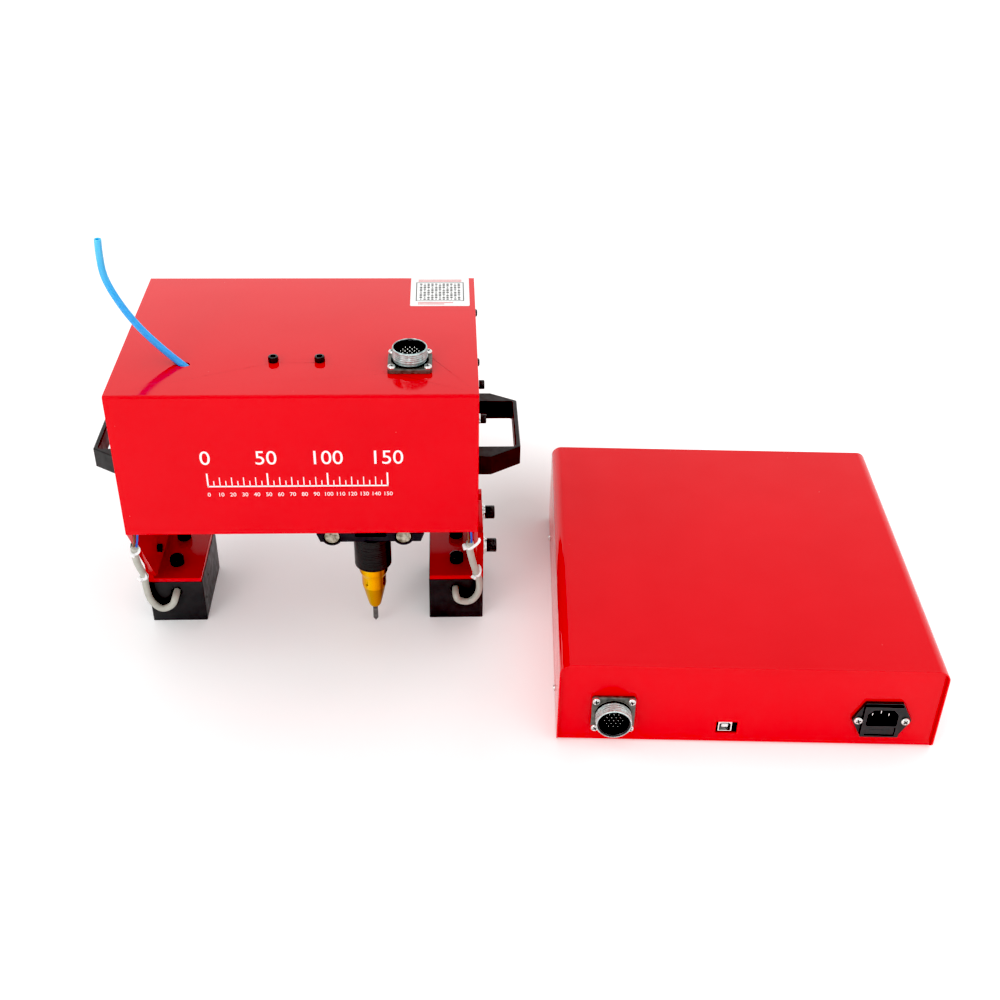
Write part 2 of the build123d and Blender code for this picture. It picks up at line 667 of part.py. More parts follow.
with BuildPart() as y_motor:
    with BuildSketch(along_y(CX, PLATE_Y1 + 0.05, YS_Z)):
        Rectangle(42.3, 42.3)
        chamfer(vertices(), length=4)
    extrude(amount=34)
    with BuildSketch(along_y(CX, PLATE_Y1 + 34.05, YS_Z)):
        Circle(SCREW_R + 0.3)
    extrude(amount=-30, mode=Mode.SUBTRACT)
save(y_motor.part, "y_motor")

with BuildPart() as y_lead_screw:
    with BuildSketch(along_y(CX, 60, YS_Z)):
        Circle(SCREW_R)
    extrude(amount=TIE_Y1 - 60)
    chamfer(y_lead_screw.edges().filter_by(GeomType.CIRCLE), length=0.6)
save(y_lead_screw.part, "y_lead_screw")

# stylus barrel: cylinder for the piston, with a spigot into the holder
with BuildPart() as stylus_barrel:
    with BuildSketch(along_x(STY_X, 0, 0)):
        with BuildLine():
            Polyline((STY_Y + 10, 74.3), (STY_Y + 17, 74.3), (STY_Y + 17, 108.95), (STY_Y + 9, 108.95),
                     (STY_Y + 9, 119), (STY_Y + 2, 119), (STY_Y + 2, 94.6), (STY_Y + 10, 94.6), close=True)
        make_face()
    revolve(axis=Axis((STY_X, STY_Y, 0), (0, 0, 1)))
    rims = [e for e in stylus_barrel.edges().filter_by(GeomType.CIRCLE)
            if abs(e.radius - 17) < 0.01]
    chamfer(rims, length=0.3)
save(stylus_barrel.part, "stylus_barrel")

# nozzle: screws up into the barrel, guides the pin, four small vent holes
with BuildPart() as stylus_nozzle:
    with BuildSketch(along_x(STY_X, 0, 0)):
        with BuildLine():
            Polyline((STY_Y + 2.45, 23.2), (STY_Y + 3.7, 23.3), (STY_Y + 4.9, 24.4), (STY_Y + 5.8, 26.3),
                     (STY_Y + 6.4, 28.6), (STY_Y + 11.3, 50.6), (STY_Y + 11.3, 60.5), (STY_Y + 13.3, 66.6),
                     (STY_Y + 13.3, 74.2), (STY_Y + 10, 74.2), (STY_Y + 10, 80.5), (STY_Y + 5.6, 80.5),
                     (STY_Y + 5.6, 60), (STY_Y + 2.45, 60), close=True)
        make_face()
    revolve(axis=Axis((STY_X, STY_Y, 0), (0, 0, 1)))
    with BuildSketch(*[Plane(origin=(STY_X, STY_Y, 66), x_dir=(0, 0, 1), z_dir=(d[0], d[1], 0))
                       for d in ((-0.56, -0.83), (0.83, -0.56), (0.56, 0.83), (-0.83, 0.56))]):
        with Locations((-12.2, 0)):
            Circle(0.95)
    extrude(amount=20, mode=Mode.SUBTRACT)
save(stylus_nozzle.part, "stylus_nozzle")

# pin and piston in one piece
with BuildPart() as stylus_pin:
    with BuildSketch(along_x(STY_X, 0, 0)):
        with BuildLine():
            Polyline((STY_Y, 4.6), (STY_Y + 0.5, 4.8), (STY_Y + 2.4, 8.0), (STY_Y + 2.4, 86.4), (STY_Y + 9.95, 86.4),
                     (STY_Y + 9.95, 94.3), (STY_Y, 94.3), close=True)
        make_face()
    revolve(axis=Axis((STY_X, STY_Y, 0), (0, 0, 1)))
save(stylus_pin.part, "stylus_pin")

# return spring between the nozzle's seat and the piston
with BuildPart() as return_spring:
    with BuildLine() as coil:
        Helix(pitch=3.6, height=24.4, radius=4.1, center=(STY_X, STY_Y, 61.0))
    with BuildSketch(Plane(origin=coil.line @ 0, z_dir=coil.line % 0)):
        Circle(0.55)
    sweep(path=coil.line, is_frenet=True)
save(return_spring.part, "return_spring")

# air fitting on the stylus holder
with BuildPart() as stylus_fitting:
    with BuildSketch(along_z(CX, 70, 127.05)):
        RegularPolygon(5, 6, major_radius=False)
    extrude(amount=5)
    with BuildSketch(along_z(CX, 70, 132)):
        Circle(4.2)
    extrude(amount=6)
    with BuildSketch(along_z(CX, 70, 126)):
        Circle(1.5)
    extrude(amount=13, mode=Mode.SUBTRACT)
save(stylus_fitting.part, "stylus_fitting")

# ---------------------------------------------------------------------------
# HEAD: air valve under the top, tube, terminal blocks
# ---------------------------------------------------------------------------
with BuildPart() as solenoid_valve:
    with Locations((-1, 50.5, ZT - T - 17)):
        Box(54, 36, 34)
    chamfer(solenoid_valve.edges().filter_by(Axis.Z), length=1)
    with Locations((40, 50.5, 266)):
        Box(28, 22, 28)
    with BuildSketch(*[along_z(x, 58.5, ZT - T) for x in (-20.3, 18.4)]):
        Circle(2.55)
    extrude(amount=-16, mode=Mode.SUBTRACT)
save(solenoid_valve.part, "solenoid_valve")

with BuildPart() as valve_fittings:
    with BuildSketch(along_x(-28.05, 43.2, 262.0, -1)):
        Circle(5.5)
        Circle(2.0, mode=Mode.SUBTRACT)
    extrude(amount=5)
    with BuildSketch(along_x(-33.05, 43.2, 262.0, -1)):
        Circle(5.0)
        Circle(TUBE_R + 0.7, mode=Mode.SUBTRACT)
    extrude(amount=8)
    with BuildSketch(along_z(8, 50, 248.05, -1)):
        Circle(5.0)
        Circle(2.0, mode=Mode.SUBTRACT)
    extrude(amount=11)
save(valve_fittings.part, "valve_fittings")

# air tube: out of the fitting, through the hole in the top, free end standing up
with BuildPart() as air_tube:
    with BuildLine() as run_t:
        FilletPolyline(*TUBE_PTS, radius=cord_radii(TUBE_PTS))
    with BuildSketch(Plane(origin=run_t.line @ 0, z_dir=run_t.line % 0)):
        Circle(TUBE_R)
    sweep(path=run_t.line)
save(air_tube.part, "air_tube")


def length_of(run):
    return sum(e.length for e in run.line.edges())


print("air tube radii", [round(r, 1) for r in cord_radii(TUBE_PTS)], "length", round(length_of(run_t), 1),
      "volume ratio", round(air_tube.part.volume / (3.14159265 * TUBE_R ** 2 * length_of(run_t)), 4))
print("cable radii", [round(r, 1) for r in cord_radii(ROUTE_L)], [round(r, 1) for r in cord_radii(ROUTE_R)],
      "lengths", round(length_of(run_l), 1), round(length_of(run_r), 1),
      "volume ratios", round(magnet_cable_left.part.volume / (3.14159265 * CABLE_R ** 2 * length_of(run_l)), 4),
      round(magnet_cable_right.part.volume / (3.14159265 * CABLE_R ** 2 * length_of(run_r)), 4))

# ---------------------------------------------------------------------------
# CONTROLLER: x = 0 at its left side, y = 0 at the cover's front edge
# ---------------------------------------------------------------------------
CON2_X, CON2_Z = 47.2, 34.4
IN_X, IN_Z = 275.5, 33.1
USB_X, USB_Z = 145.5, 18.8       # panel opening
USB_SX, USB_SZ = 144.2, 19.3     # the socket in it
SCR_Y = (59.0, 285.0)

# cover: top and two sides from one sheet, rounded along the top
with BuildPart() as controller_cover:
    with BuildSketch(along_y(0, 0, 0, -1)):
        with BuildLine():
            Polyline((0, 0.8), (0, CH), (CW, CH), (CW, 0.8), close=True)
        make_face()
        fillet(vertices().group_by(Axis.Y)[-1], radius=10)
    extrude(amount=-CD)
    with BuildSketch(along_y(0, -1, 0, -1)):
        with BuildLine():
            Polyline((CT, -1), (CT, CH - CT), (CW - CT, CH - CT), (CW - CT, -1), close=True)
        make_face()
        fillet(vertices().group_by(Axis.Y)[-1], radius=8.5)
    extrude(amount=-(CD + 2), mode=Mode.SUBTRACT)
    fillet([e for e in controller_cover.edges().filter_by(Axis.X) if e.center().Z < 1], radius=8)
    with BuildSketch(along_x(-1, 0, 0)):
        with Locations((SCR_Y[0], 9.8), (SCR_Y[1], 9.8)):
            Circle(1.7)
    extrude(amount=CW + 2, mode=Mode.SUBTRACT)
save(controller_cover.part, "controller_cover", CTRL)

# tray: base, front and back panels and two low side flanges
with BuildPart() as controller_tray:
    x0, x1 = CT + 0.2, CW - CT - 0.2
    y0, y1 = REC, CD - REC
    with Locations(((x0 + x1) / 2, (y0 + y1) / 2, 2 + CT / 2)):
        Box(x1 - x0, y1 - y0, CT)
    with BuildSketch(along_y(0, y0, 0, -1)):
        with BuildLine():
            Polyline((x0, 2), (x0, CH - CT - 0.2), (x1, CH - CT - 0.2), (x1, 2), close=True)
        make_face()
        fillet(vertices().group_by(Axis.Y)[-1], radius=8.3)
    extrude(amount=-CT)
    with BuildSketch(along_y(0, y1, 0, -1)):
        with BuildLine():
            Polyline((x0, 2), (x0, CH - CT - 0.2), (x1, CH - CT - 0.2), (x1, 2), close=True)
        make_face()
        fillet(vertices().group_by(Axis.Y)[-1], radius=8.3)
    extrude(amount=CT)
    with Locations((x0 + CT / 2, (y0 + y1) / 2, 12), (x1 - CT / 2, (y0 + y1) / 2, 12)):
        Box(CT, y1 - y0, 20)
    fillet([e for e in controller_tray.edges().filter_by(Axis.X)
            if abs(e.center().Z - 2) < 0.05 and (abs(e.center().Y - y0) < 0.05 or abs(e.center().Y - y1) < 0.05)],
           radius=1.2)
    # panel openings: connector, usb, mains inlet, inlet screws; rocker in the back
    with BuildSketch(along_y(0, y0 - 1, 0, -1)):
        with Locations((CON2_X, CON2_Z)):
            Circle(13.8)
        with Locations(*[(CON2_X + i * CON_P, CON2_Z + j * CON_P) for i in (-1, 1) for j in (-1, 1)]):
            Circle(2.05)
        with Locations((USB_X, USB_Z)):
            Rectangle(18, 12.5)
        with Locations((IN_X, IN_Z)):
            Rectangle(31, 35)
        with Locations((IN_X - 20, IN_Z), (IN_X + 20, IN_Z)):
            Circle(2.05)
    extrude(amount=-4, mode=Mode.SUBTRACT)
    with BuildSketch(along_y(0, y1 + 1, 0, -1)):
        with Locations((ROC_X, ROC_Z)):
            Rectangle(13, 19.2)
    extrude(amount=4, mode=Mode.SUBTRACT)
    with BuildSketch(along_x(-1, 0, 0)):
        with Locations((SCR_Y[0], 9.8), (SCR_Y[1], 9.8)):
            Circle(1.55)
    extrude(amount=CW + 2, mode=Mode.SUBTRACT)
save(controller_tray.part, "controller_tray", CTRL)

with BuildPart() as rubber_feet:
    with BuildSketch(*[along_z(x, y, 0) for x in (22, CW - 22) for y in (24, CD - 24)]):
        Circle(8)
    extrude(amount=2)
    chamfer(rubber_feet.edges().group_by(Axis.Z)[0], length=0.5)
save(rubber_feet.part, "rubber_feet", CTRL)

# panel connector
with BuildPart() as controller_connector_shell:
    with BuildSketch(along_y(CON2_X, REC, CON2_Z, -1)):
        RectangleRounded(CON_SQ, CON_SQ, 2.5)
    extrude(amount=3)
    with BuildSketch(along_y(CON2_X, REC + 16, CON2_Z, -1)):
        Circle(13.6)
    extrude(amount=17)
    with BuildSketch(along_y(CON2_X, REC - 3, CON2_Z, -1)):
        Circle(RING_RO)
    extrude(amount=13)
    with BuildSketch(along_y(CON2_X, REC + 17, CON2_Z, -1)):
        Circle(12.0)
    extrude(amount=17, mode=Mode.SUBTRACT)
    with BuildSketch(along_y(CON2_X, REC + 0.5, CON2_Z, -1)):
        Circle(RING_RI)
    extrude(amount=22, mode=Mode.SUBTRACT)
    with BuildSketch(along_y(CON2_X, REC, CON2_Z, -1)):
        with Locations(*[(i * CON_P, j * CON_P) for i in (-1, 1) for j in (-1, 1)]):
            Circle(2.05)
    extrude(amount=4, mode=Mode.SUBTRACT)
    rim2 = controller_connector_shell.edges().filter_by(GeomType.CIRCLE).group_by(Axis.Y)[0]
    chamfer(rim2, length=0.7)
save(controller_connector_shell.part, "controller_connector_shell", CTRL)

with BuildPart() as controller_connector_core:
    with BuildSketch(along_y(CON2_X, REC + 0.5, CON2_Z, -1)):
        Circle(RING_RI)
        with Locations(*pin_grid(3.9)):
            Circle(0.8, mode=Mode.SUBTRACT)
    extrude(amount=8)
save(controller_connector_core.part, "controller_connector_core", CTRL)

with BuildPart() as controller_connector_pins:
    with BuildSketch(along_y(CON2_X, REC + 12, CON2_Z, -1)):
        with Locations(*pin_grid(3.9)):
            Circle(0.8)
    extrude(amount=12 + 11)
save(controller_connector_pins.part, "controller_connector_pins", CTRL)

# mains inlet: flange, body with the plug recess, and a slot for the fuse drawer
with BuildPart() as power_inlet:
    with BuildSketch(along_y(IN_X, REC, IN_Z, -1)):
        with BuildLine():
            Polyline((-25.4, 0), (-16.0, 19.4), (15.6, 19.4), (25.4, 0), (15.6, -18.8), (-15.6, -18.8), close=True)
        make_face()
        fillet(vertices(), radius=1.5)
    extrude(amount=2.6)
    with BuildSketch(along_y(IN_X, REC + 22, IN_Z, -1)):
        Rectangle(30.4, 34.4)
    extrude(amount=22)
    with BuildSketch(along_y(IN_X, REC - 3, IN_Z, -1)):
        with BuildLine():
            Polyline((-12.6, -5.0), (-12.6, 7.6), (-8.4, 12.2), (8.4, 12.2), (12.6, 7.6), (12.6, -5.0), close=True)
        make_face()
    extrude(amount=-18, mode=Mode.SUBTRACT)
    with BuildSketch(along_y(IN_X, REC - 3, IN_Z, -1)):
        with Locations((0, -11.6)):
            Rectangle(25.2, 9.2)
    extrude(amount=-22, mode=Mode.SUBTRACT)
    with BuildSketch(along_y(IN_X, REC - 3, IN_Z, -1)):
        with Locations((-20, 0), (20, 0)):
            Circle(2.05)
        with Locations((-7, 1.4), (7, 1.4), (0, 5.4)):
            Rectangle(2.0, 4.0)
    extrude(amount=-30, mode=Mode.SUBTRACT)
save(power_inlet.part, "power_inlet", CTRL)

with BuildPart() as inlet_pins:
    with BuildSketch(along_y(IN_X, REC + 28, IN_Z, -1)):
        with Locations((-7, 1.4), (7, 1.4), (0, 5.4)):
            Rectangle(2.0, 4.0)
    extrude(amount=26)
save(inlet_pins.part, "inlet_pins", CTRL)

# fuse drawer below the recess, with a finger lip
with BuildPart() as fuse_drawer:
    with BuildSketch(along_y(IN_X, REC + 18, IN_Z, -1)):
        with Locations((0, -11.6)):
            Rectangle(24.8, 8.8)
    extrude(amount=20.4)
    with BuildSketch(along_y(IN_X, REC - 2.4, IN_Z, -1)):
        with Locations((-3, -9.0)):
            RectangleRounded(13, 2.0, 0.8)
    extrude(amount=1.0)
    with BuildSketch(along_z(IN_X, REC + 9, IN_Z - 7.3)):
        Rectangle(20.6, 5.6)
    extrude(amount=-5.6, mode=Mode.SUBTRACT)
save(fuse_drawer.part, "fuse_drawer", CTRL)

# usb socket: metal shell with a contact tongue
with BuildPart() as usb_socket:
    with BuildSketch(along_y(USB_SX, REC + 16.6, USB_SZ, -1)):
        Rectangle(12.0, 10.4)
        with BuildLine():
            Polyline((-4.6, -4.4), (4.6, -4.4), (4.6, 2.6), (2.9, 4.3), (-2.9, 4.3), (-4.6, 2.6), close=True)
        make_face(mode=Mode.SUBTRACT)
    extrude(amount=16)
    with Locations((USB_SX, REC + 16.9, USB_SZ)):
        Box(12.0, 1.2, 10.4)
    with Locations((USB_SX, REC + 10.5, USB_SZ)):
        Box(5.4, 12.8, 3.2)
save(usb_socket.part, "usb_socket", CTRL)

# pan head screws: connector flange, inlet flange, cover sides
panel_screws = cross_screws(
    [along_y(CON2_X + i * CON_P, REC - 3, CON2_Z + j * CON_P, -1) for i in (-1, 1) for j in (-1, 1)]
    + [along_y(IN_X + i * 20, REC - 2.6, IN_Z, -1) for i in (-1, 1)],
    3.6, 2.4, 2.0, 8.0)
side_screws = cross_screws(
    [along_x(0, y, 9.8, -1) for y in SCR_Y] + [along_x(CW, y, 9.8, 1) for y in SCR_Y],
    3.0, 1.8, 1.5, 6.0)
with BuildPart() as controller_screws:
    add(panel_screws.part)
    add(side_screws.part)
save(controller_screws.part, "controller_screws", CTRL)

# electronics: main board on posts, two driver modules and a power supply
with BuildPart() as circuit_board:
    with Locations((118, 108, 12.8)):
        Box(190, 200, 1.6)
    with BuildSketch(*[along_z(x, y, 3.55) for x in (30, 206) for y in (37, 200)]):
        Circle(3.5)
    extrude(amount=8.45)
    with Locations((70, 150, 25.6), (150, 150, 25.6)):
        Box(50, 70, 24)
    with Locations((176, 60, 18.6)):
        Box(34, 34, 10)
save(circuit_board.part, "circuit_board", CTRL)

with BuildPart() as power_supply:
    with Locations((266, 190, 24.55)):
        Box(98, 129, 42)
    chamfer(power_supply.edges().filter_by(Axis.Z), length=1)
save(power_supply.part, "power_supply", CTRL)

# rocker switch in the back panel
with BuildPart() as switch_housing:
    yb = CD - REC
    with BuildSketch(along_y(ROC_X, yb, ROC_Z)):
        RectangleRounded(15.0, 21.0, 1.2)
    extrude(amount=2.0)
    with BuildSketch(along_y(ROC_X, yb, ROC_Z)):
        Rectangle(12.8, 19.0)
    extrude(amount=-15)
    with BuildSketch(along_y(ROC_X, yb + 2.5, ROC_Z)):
        Rectangle(9.4, 16.4)
    extrude(amount=-13, mode=Mode.SUBTRACT)
save(switch_housing.part, "switch_housing", CTRL)

with BuildPart() as switch_rocker:
    yp = CD - REC - 3.0
    with BuildSketch(along_x(ROC_X - 4.5, 0, 0)):
        with BuildLine():
            Polyline((yp + 4.2, ROC_Z - 7.4), (yp + 3.6, ROC_Z), (yp + 7.0, ROC_Z + 6.4),
                     (yp + 2.0, ROC_Z + 7.6), (yp - 3.0, ROC_Z + 3.0), (yp - 3.0, ROC_Z - 3.0), (yp + 0.2, ROC_Z - 7.9),
                     close=True)
        make_face()
    extrude(amount=9.0)
save(switch_rocker.part, "switch_rocker", CTRL)
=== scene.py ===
import json
import math

import bmesh
import bpy
from mathutils import Matrix, Vector

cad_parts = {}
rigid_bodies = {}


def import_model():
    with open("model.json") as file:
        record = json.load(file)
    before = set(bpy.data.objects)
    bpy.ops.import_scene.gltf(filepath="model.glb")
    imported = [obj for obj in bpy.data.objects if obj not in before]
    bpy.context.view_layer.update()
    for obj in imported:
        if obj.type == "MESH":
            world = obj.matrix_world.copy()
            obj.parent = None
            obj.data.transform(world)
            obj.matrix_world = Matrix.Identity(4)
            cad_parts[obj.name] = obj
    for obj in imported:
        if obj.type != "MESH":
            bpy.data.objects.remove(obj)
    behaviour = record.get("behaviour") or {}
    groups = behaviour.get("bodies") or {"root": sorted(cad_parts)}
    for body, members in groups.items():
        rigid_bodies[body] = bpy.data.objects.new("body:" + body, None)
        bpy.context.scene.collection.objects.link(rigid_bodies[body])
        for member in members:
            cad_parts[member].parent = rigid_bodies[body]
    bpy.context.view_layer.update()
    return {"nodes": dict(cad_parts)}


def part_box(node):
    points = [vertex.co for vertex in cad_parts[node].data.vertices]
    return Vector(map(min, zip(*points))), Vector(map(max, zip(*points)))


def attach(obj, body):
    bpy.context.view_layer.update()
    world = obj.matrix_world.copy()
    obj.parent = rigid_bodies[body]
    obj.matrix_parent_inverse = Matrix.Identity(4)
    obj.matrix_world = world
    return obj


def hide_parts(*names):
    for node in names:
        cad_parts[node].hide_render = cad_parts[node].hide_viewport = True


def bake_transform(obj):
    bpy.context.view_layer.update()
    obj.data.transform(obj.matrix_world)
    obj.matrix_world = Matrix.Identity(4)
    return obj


for o in list(bpy.data.objects):
    bpy.data.objects.remove(o)
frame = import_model()
nodes = frame["nodes"]
scene = bpy.context.scene

# ---------------------------------------------------------------------------
# frames: the head and the controller are described in millimetres in their own
# axes, as in the construction, and these matrices place them in metres
# ---------------------------------------------------------------------------
OX, OY = 183.0, 53.6
HM = Matrix.Translation((-OX / 1000, -OY / 1000, 0)) @ Matrix.Scale(0.001, 4)
KM = (Matrix.Translation((0.03375, -0.1607, 0)) @ Matrix.Rotation(math.radians(-2.73), 4, "Z")
      @ Matrix.Scale(0.001, 4))
HW, HD, ZB, ZT = 151.0, 222.0, 147.6, 283.9
CW, CD, CH, REC = 324.3, 337.6, 88.8, 3.4
CX, STY_Y = 52.5, 56.0


def H(x, y, z):
    return HM @ Vector((x, y, z))


# ---------------------------------------------------------------------------
# camera
# ---------------------------------------------------------------------------
cam_data = bpy.data.cameras.new("camera")
cam_data.sensor_width = 36.0
cam_data.lens = 48.03
cam = bpy.data.objects.new("camera", cam_data)
scene.collection.objects.link(cam)
c_right, c_fwd = Vector((0.99925, -0.0355, 0.0155)), Vector((0.0380, 0.8226, -0.5674))
c_fwd.normalize()
c_right = (c_right - c_fwd * c_right.dot(c_fwd)).normalized()
c_up = c_right.cross(c_fwd)
rot = Matrix((c_right, c_up, -c_fwd)).transposed()
cam.matrix_world = Matrix.Translation((-0.05685, -0.9880, 0.8257)) @ rot.to_4x4()
cam_data.clip_start, cam_data.clip_end = 0.02, 60
scene.camera = cam


# ---------------------------------------------------------------------------
# mesh tools
# ---------------------------------------------------------------------------
def basis(at, normal, xdir=None):
    """matrix with its z along normal and its x near xdir"""
    z = Vector(normal).normalized()
    x = Vector(xdir) if xdir else (Vector((1, 0, 0)) if abs(z.x) < 0.9 else Vector((0, 1, 0)))
    x = (x - z * x.dot(z)).normalized()
    m = Matrix((x, z.cross(x), z)).transposed().to_4x4()
    m.translation = Vector(at)
    return m


def ring_faces(bm, a, b):
    n = len(a)
    for i in range(n):
        j = (i + 1) % n
        bm.faces.new((a[i], a[j], b[j], b[i]))


def polar(bm, m, rings, n=48, cap=True, closed=False, turn=0.0):
    """surface through rings given as (radius or radius function, z); a radius of 0 closes to a point"""
    made = []
    for r, z in rings:
        if not callable(r) and r == 0:
            made.append(bm.verts.new(m @ Vector((0, 0, z))))
            continue
        loop = []
        for i in range(n):
            t = 2 * math.pi * i / n + turn
            rr = r(t) if callable(r) else r
            loop.append(bm.verts.new(m @ Vector((rr * math.cos(t), rr * math.sin(t), z))))
        made.append(loop)
    pairs = list(zip(made, made[1:]))
    if closed:
        pairs.append((made[-1], made[0]))
    for a, b in pairs:
        if isinstance(a, list) and isinstance(b, list):
            ring_faces(bm, a, b)
        elif isinstance(a, list):
            for i in range(n):
                bm.faces.new((a[i], a[(i + 1) % n], b))
        else:
            for i in range(n):
                bm.faces.new((a, b[(i + 1) % n], b[i]))
    if cap and not closed:
        if isinstance(made[0], list):
            bm.faces.new(list(reversed(made[0])))
        if isinstance(made[-1], list):
            bm.faces.new(made[-1])
    return made


def hexagon(af):
    def r(t):
        t = (t + math.pi / 6) % (math.pi / 3) - math.pi / 6
        return af / 2 / math.cos(t)
    return r


def cross(width, length):
    def r(t):
        t = t % (math.pi / 2)
        t = min(t, math.pi / 2 - t)
        if math.tan(t) <= width / length + 1e-6:
            return length / 2 / math.cos(t)
        return width / 2 / math.sin(t)
    return r


def round_square(a, c):
    def r(t):
        t = t % (math.pi / 2)
        t = min(t, math.pi / 2 - t)
        if a * math.tan(t) <= a - c:
            return a / math.cos(t)
        k = (a - c) * (math.cos(t) + math.sin(t))
        return k + math.sqrt(max(k * k - 2 * (a - c) ** 2 + c * c, 0))
    return r


def round_rect(a, b, c):
    """rectangle of half sides a and b with corners rounded by c"""
    def r(t):
        x, y = abs(math.cos(t)), abs(math.sin(t))
        if a * y <= (b - c) * x:
            return a / x
        if b * x <= (a - c) * y:
            return b / y
        k = (a - c) * x + (b - c) * y
        return k + math.sqrt(max(k * k - (a - c) ** 2 - (b - c) ** 2 + c * c, 0))
    return r


def cut_square(a, c):
    """square of half side a with its corners cut by c"""
    def r(t):
        t = t % (math.pi / 2)
        t = min(t, math.pi / 2 - t)
        if a * math.tan(t) <= a - c:
            return a / math.cos(t)
        return (2 * a - c) / (math.cos(t) + math.sin(t))
    return r


def knurl(r0, depth, count):
    def r(t):
        return r0 - depth * (0.5 - 0.5 * math.cos(t * count))
    return r


def rounded(points, radius, steps=5):
    """outline with its corners rounded"""
    out = []
    n = len(points)
    for i in range(n):
        p, a, b = Vector(points[i]), Vector(points[i - 1]), Vector(points[(i + 1) % n])
        u, v = (a - p).normalized(), (b - p).normalized()
        half = u.angle(v) / 2
        rr = radius[i] if isinstance(radius, (list, tuple)) else radius
        if rr <= 0:
            out.append(tuple(p))
            continue
        d = rr / math.tan(half)
        c = p + (u + v).normalized() * (rr / math.sin(half))
        s, e = p + u * d - c, p + v * d - c
        for k in range(steps + 1):
            w = k / steps
            q = (s.normalized() * (1 - w) + e.normalized() * w).normalized() * rr
            out.append(tuple(c + q))
    return out


def prism(bm, m, outline, z0, z1):
    lo = [bm.verts.new(m @ Vector((x, y, z0))) for x, y in outline]
    hi = [bm.verts.new(m @ Vector((x, y, z1))) for x, y in outline]
    ring_faces(bm, lo, hi)
    bm.faces.new(list(reversed(lo)))
    bm.faces.new(hi)
    return lo, hi


def rect(w, h, cx=0.0, cy=0.0):
    return [(cx - w / 2, cy - h / 2), (cx + w / 2, cy - h / 2), (cx + w / 2, cy + h / 2), (cx - w / 2, cy + h / 2)]


def block(bm, m, size, at=(0, 0, 0)):
    x, y, z = at
    prism(bm, m, rect(size[0], size[1], x, y), z - size[2] / 2, z + size[2] / 2)


def frames_along(points, up=(0, 0, 1)):
    """steady frames along a path, turned as little as possible"""
    pts = [Vector(p) for p in points]
    out = []
    x = None
    for i, p in enumerate(pts):
        a, b = pts[max(i - 1, 0)], pts[min(i + 1, len(pts) - 1)]
        t = (b - a).normalized()
        if x is None:
            u = Vector(up)
            x = u - t * u.dot(t)
            if x.length < 1e-6:
                x = Vector((1, 0, 0)) - t * t.x
        else:
            x = x - t * x.dot(t)
        x.normalize()
        out.append((p, x.copy(), t.cross(x), t))
    return out


def sweep(bm, points, outline, up=(0, 0, 1), caps=True, scales=None):
    """outline in (x, y) swept along points"""
    rings = []
    for k, (p, x, y, t) in enumerate(frames_along(points, up)):
        s = scales[k] if scales else 1.0
        rings.append([bm.verts.new(p + x * (a * s) + y * (b * s)) for a, b in outline])
    for a, b in zip(rings, rings[1:]):
        ring_faces(bm, a, b)
    if caps:
        bm.faces.new(list(reversed(rings[0])))
        bm.faces.new(rings[-1])
    return rings


def circle(r, n=20):
    return [(r * math.cos(2 * math.pi * i / n), r * math.sin(2 * math.pi * i / n)) for i in range(n)]


def spline_points(points, name, per=14):
    """points read off a smooth open spline with these control points"""
    cu = bpy.data.curves.new(name, "CURVE")
    cu.dimensions = "3D"
    sp = cu.splines.new("NURBS")
    sp.points.add(len(points) - 1)
    for q, p in zip(sp.points, points):
        q.co = (*p, 1.0)
    sp.order_u = 3
    sp.use_endpoint_u = True
    sp.resolution_u = per
    ob = bpy.data.objects.new(name, cu)
    scene.collection.objects.link(ob)
    bpy.context.view_layer.update()
    dg = bpy.context.evaluated_depsgraph_get()
    me = bpy.data.meshes.new_from_object(ob.evaluated_get(dg))
    out = [v.co.copy() for v in me.vertices]
    bpy.data.objects.remove(ob)
    bpy.data.meshes.remove(me)
    clean = [out[0]]
    for p in out[1:]:
        if (p - clean[-1]).length > 1e-7:
            clean.append(p)
    return clean


def mark(me, angle=32):
    """smooth shading with sharp edges past an angle"""
    bm = bmesh.new()
    bm.from_mesh(me)
    bmesh.ops.recalc_face_normals(bm, faces=bm.faces)
    lim = math.radians(angle)
    for f in bm.faces:
        f.smooth = True
    for e in bm.edges:
        e.smooth = not (len(e.link_faces) == 2 and e.calc_face_angle(0) > lim)
    bm.to_mesh(me)
    bm.free()


def piece(name, bm, m, material, body, stands_for=(), bevel=0.0, segs=2, angle=32):
    """object from a bmesh in millimetres, placed by m and riding on a body"""
    bm.transform(m)
    me = bpy.data.meshes.new(name)
    bm.to_mesh(me)
    bm.free()
    mark(me, angle)
    me.materials.append(material)
    ob = bpy.data.objects.new(name, me)
    scene.collection.objects.link(ob)
    if bevel:
        add_bevel(ob, bevel, segs)
    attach(ob, body)
    if stands_for:
        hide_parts(*stands_for)
    return ob


def add_bevel(ob, width, segs=2, weld=False, angle=30):
    if weld:
        w = ob.modifiers.new("weld", "WELD")
        w.merge_threshold = 2e-6
    b = ob.modifiers.new("bevel", "BEVEL")
    b.width = width / 1000
    b.segments = segs
    b.limit_method = "ANGLE"
    b.angle_limit = math.radians(angle)
    b.use_clamp_overlap = True
    b.miter_outer = "MITER_ARC"
    n = ob.modifiers.new("normals", "WEIGHTED_NORMAL")
    n.keep_sharp = False
    n.weight = 50


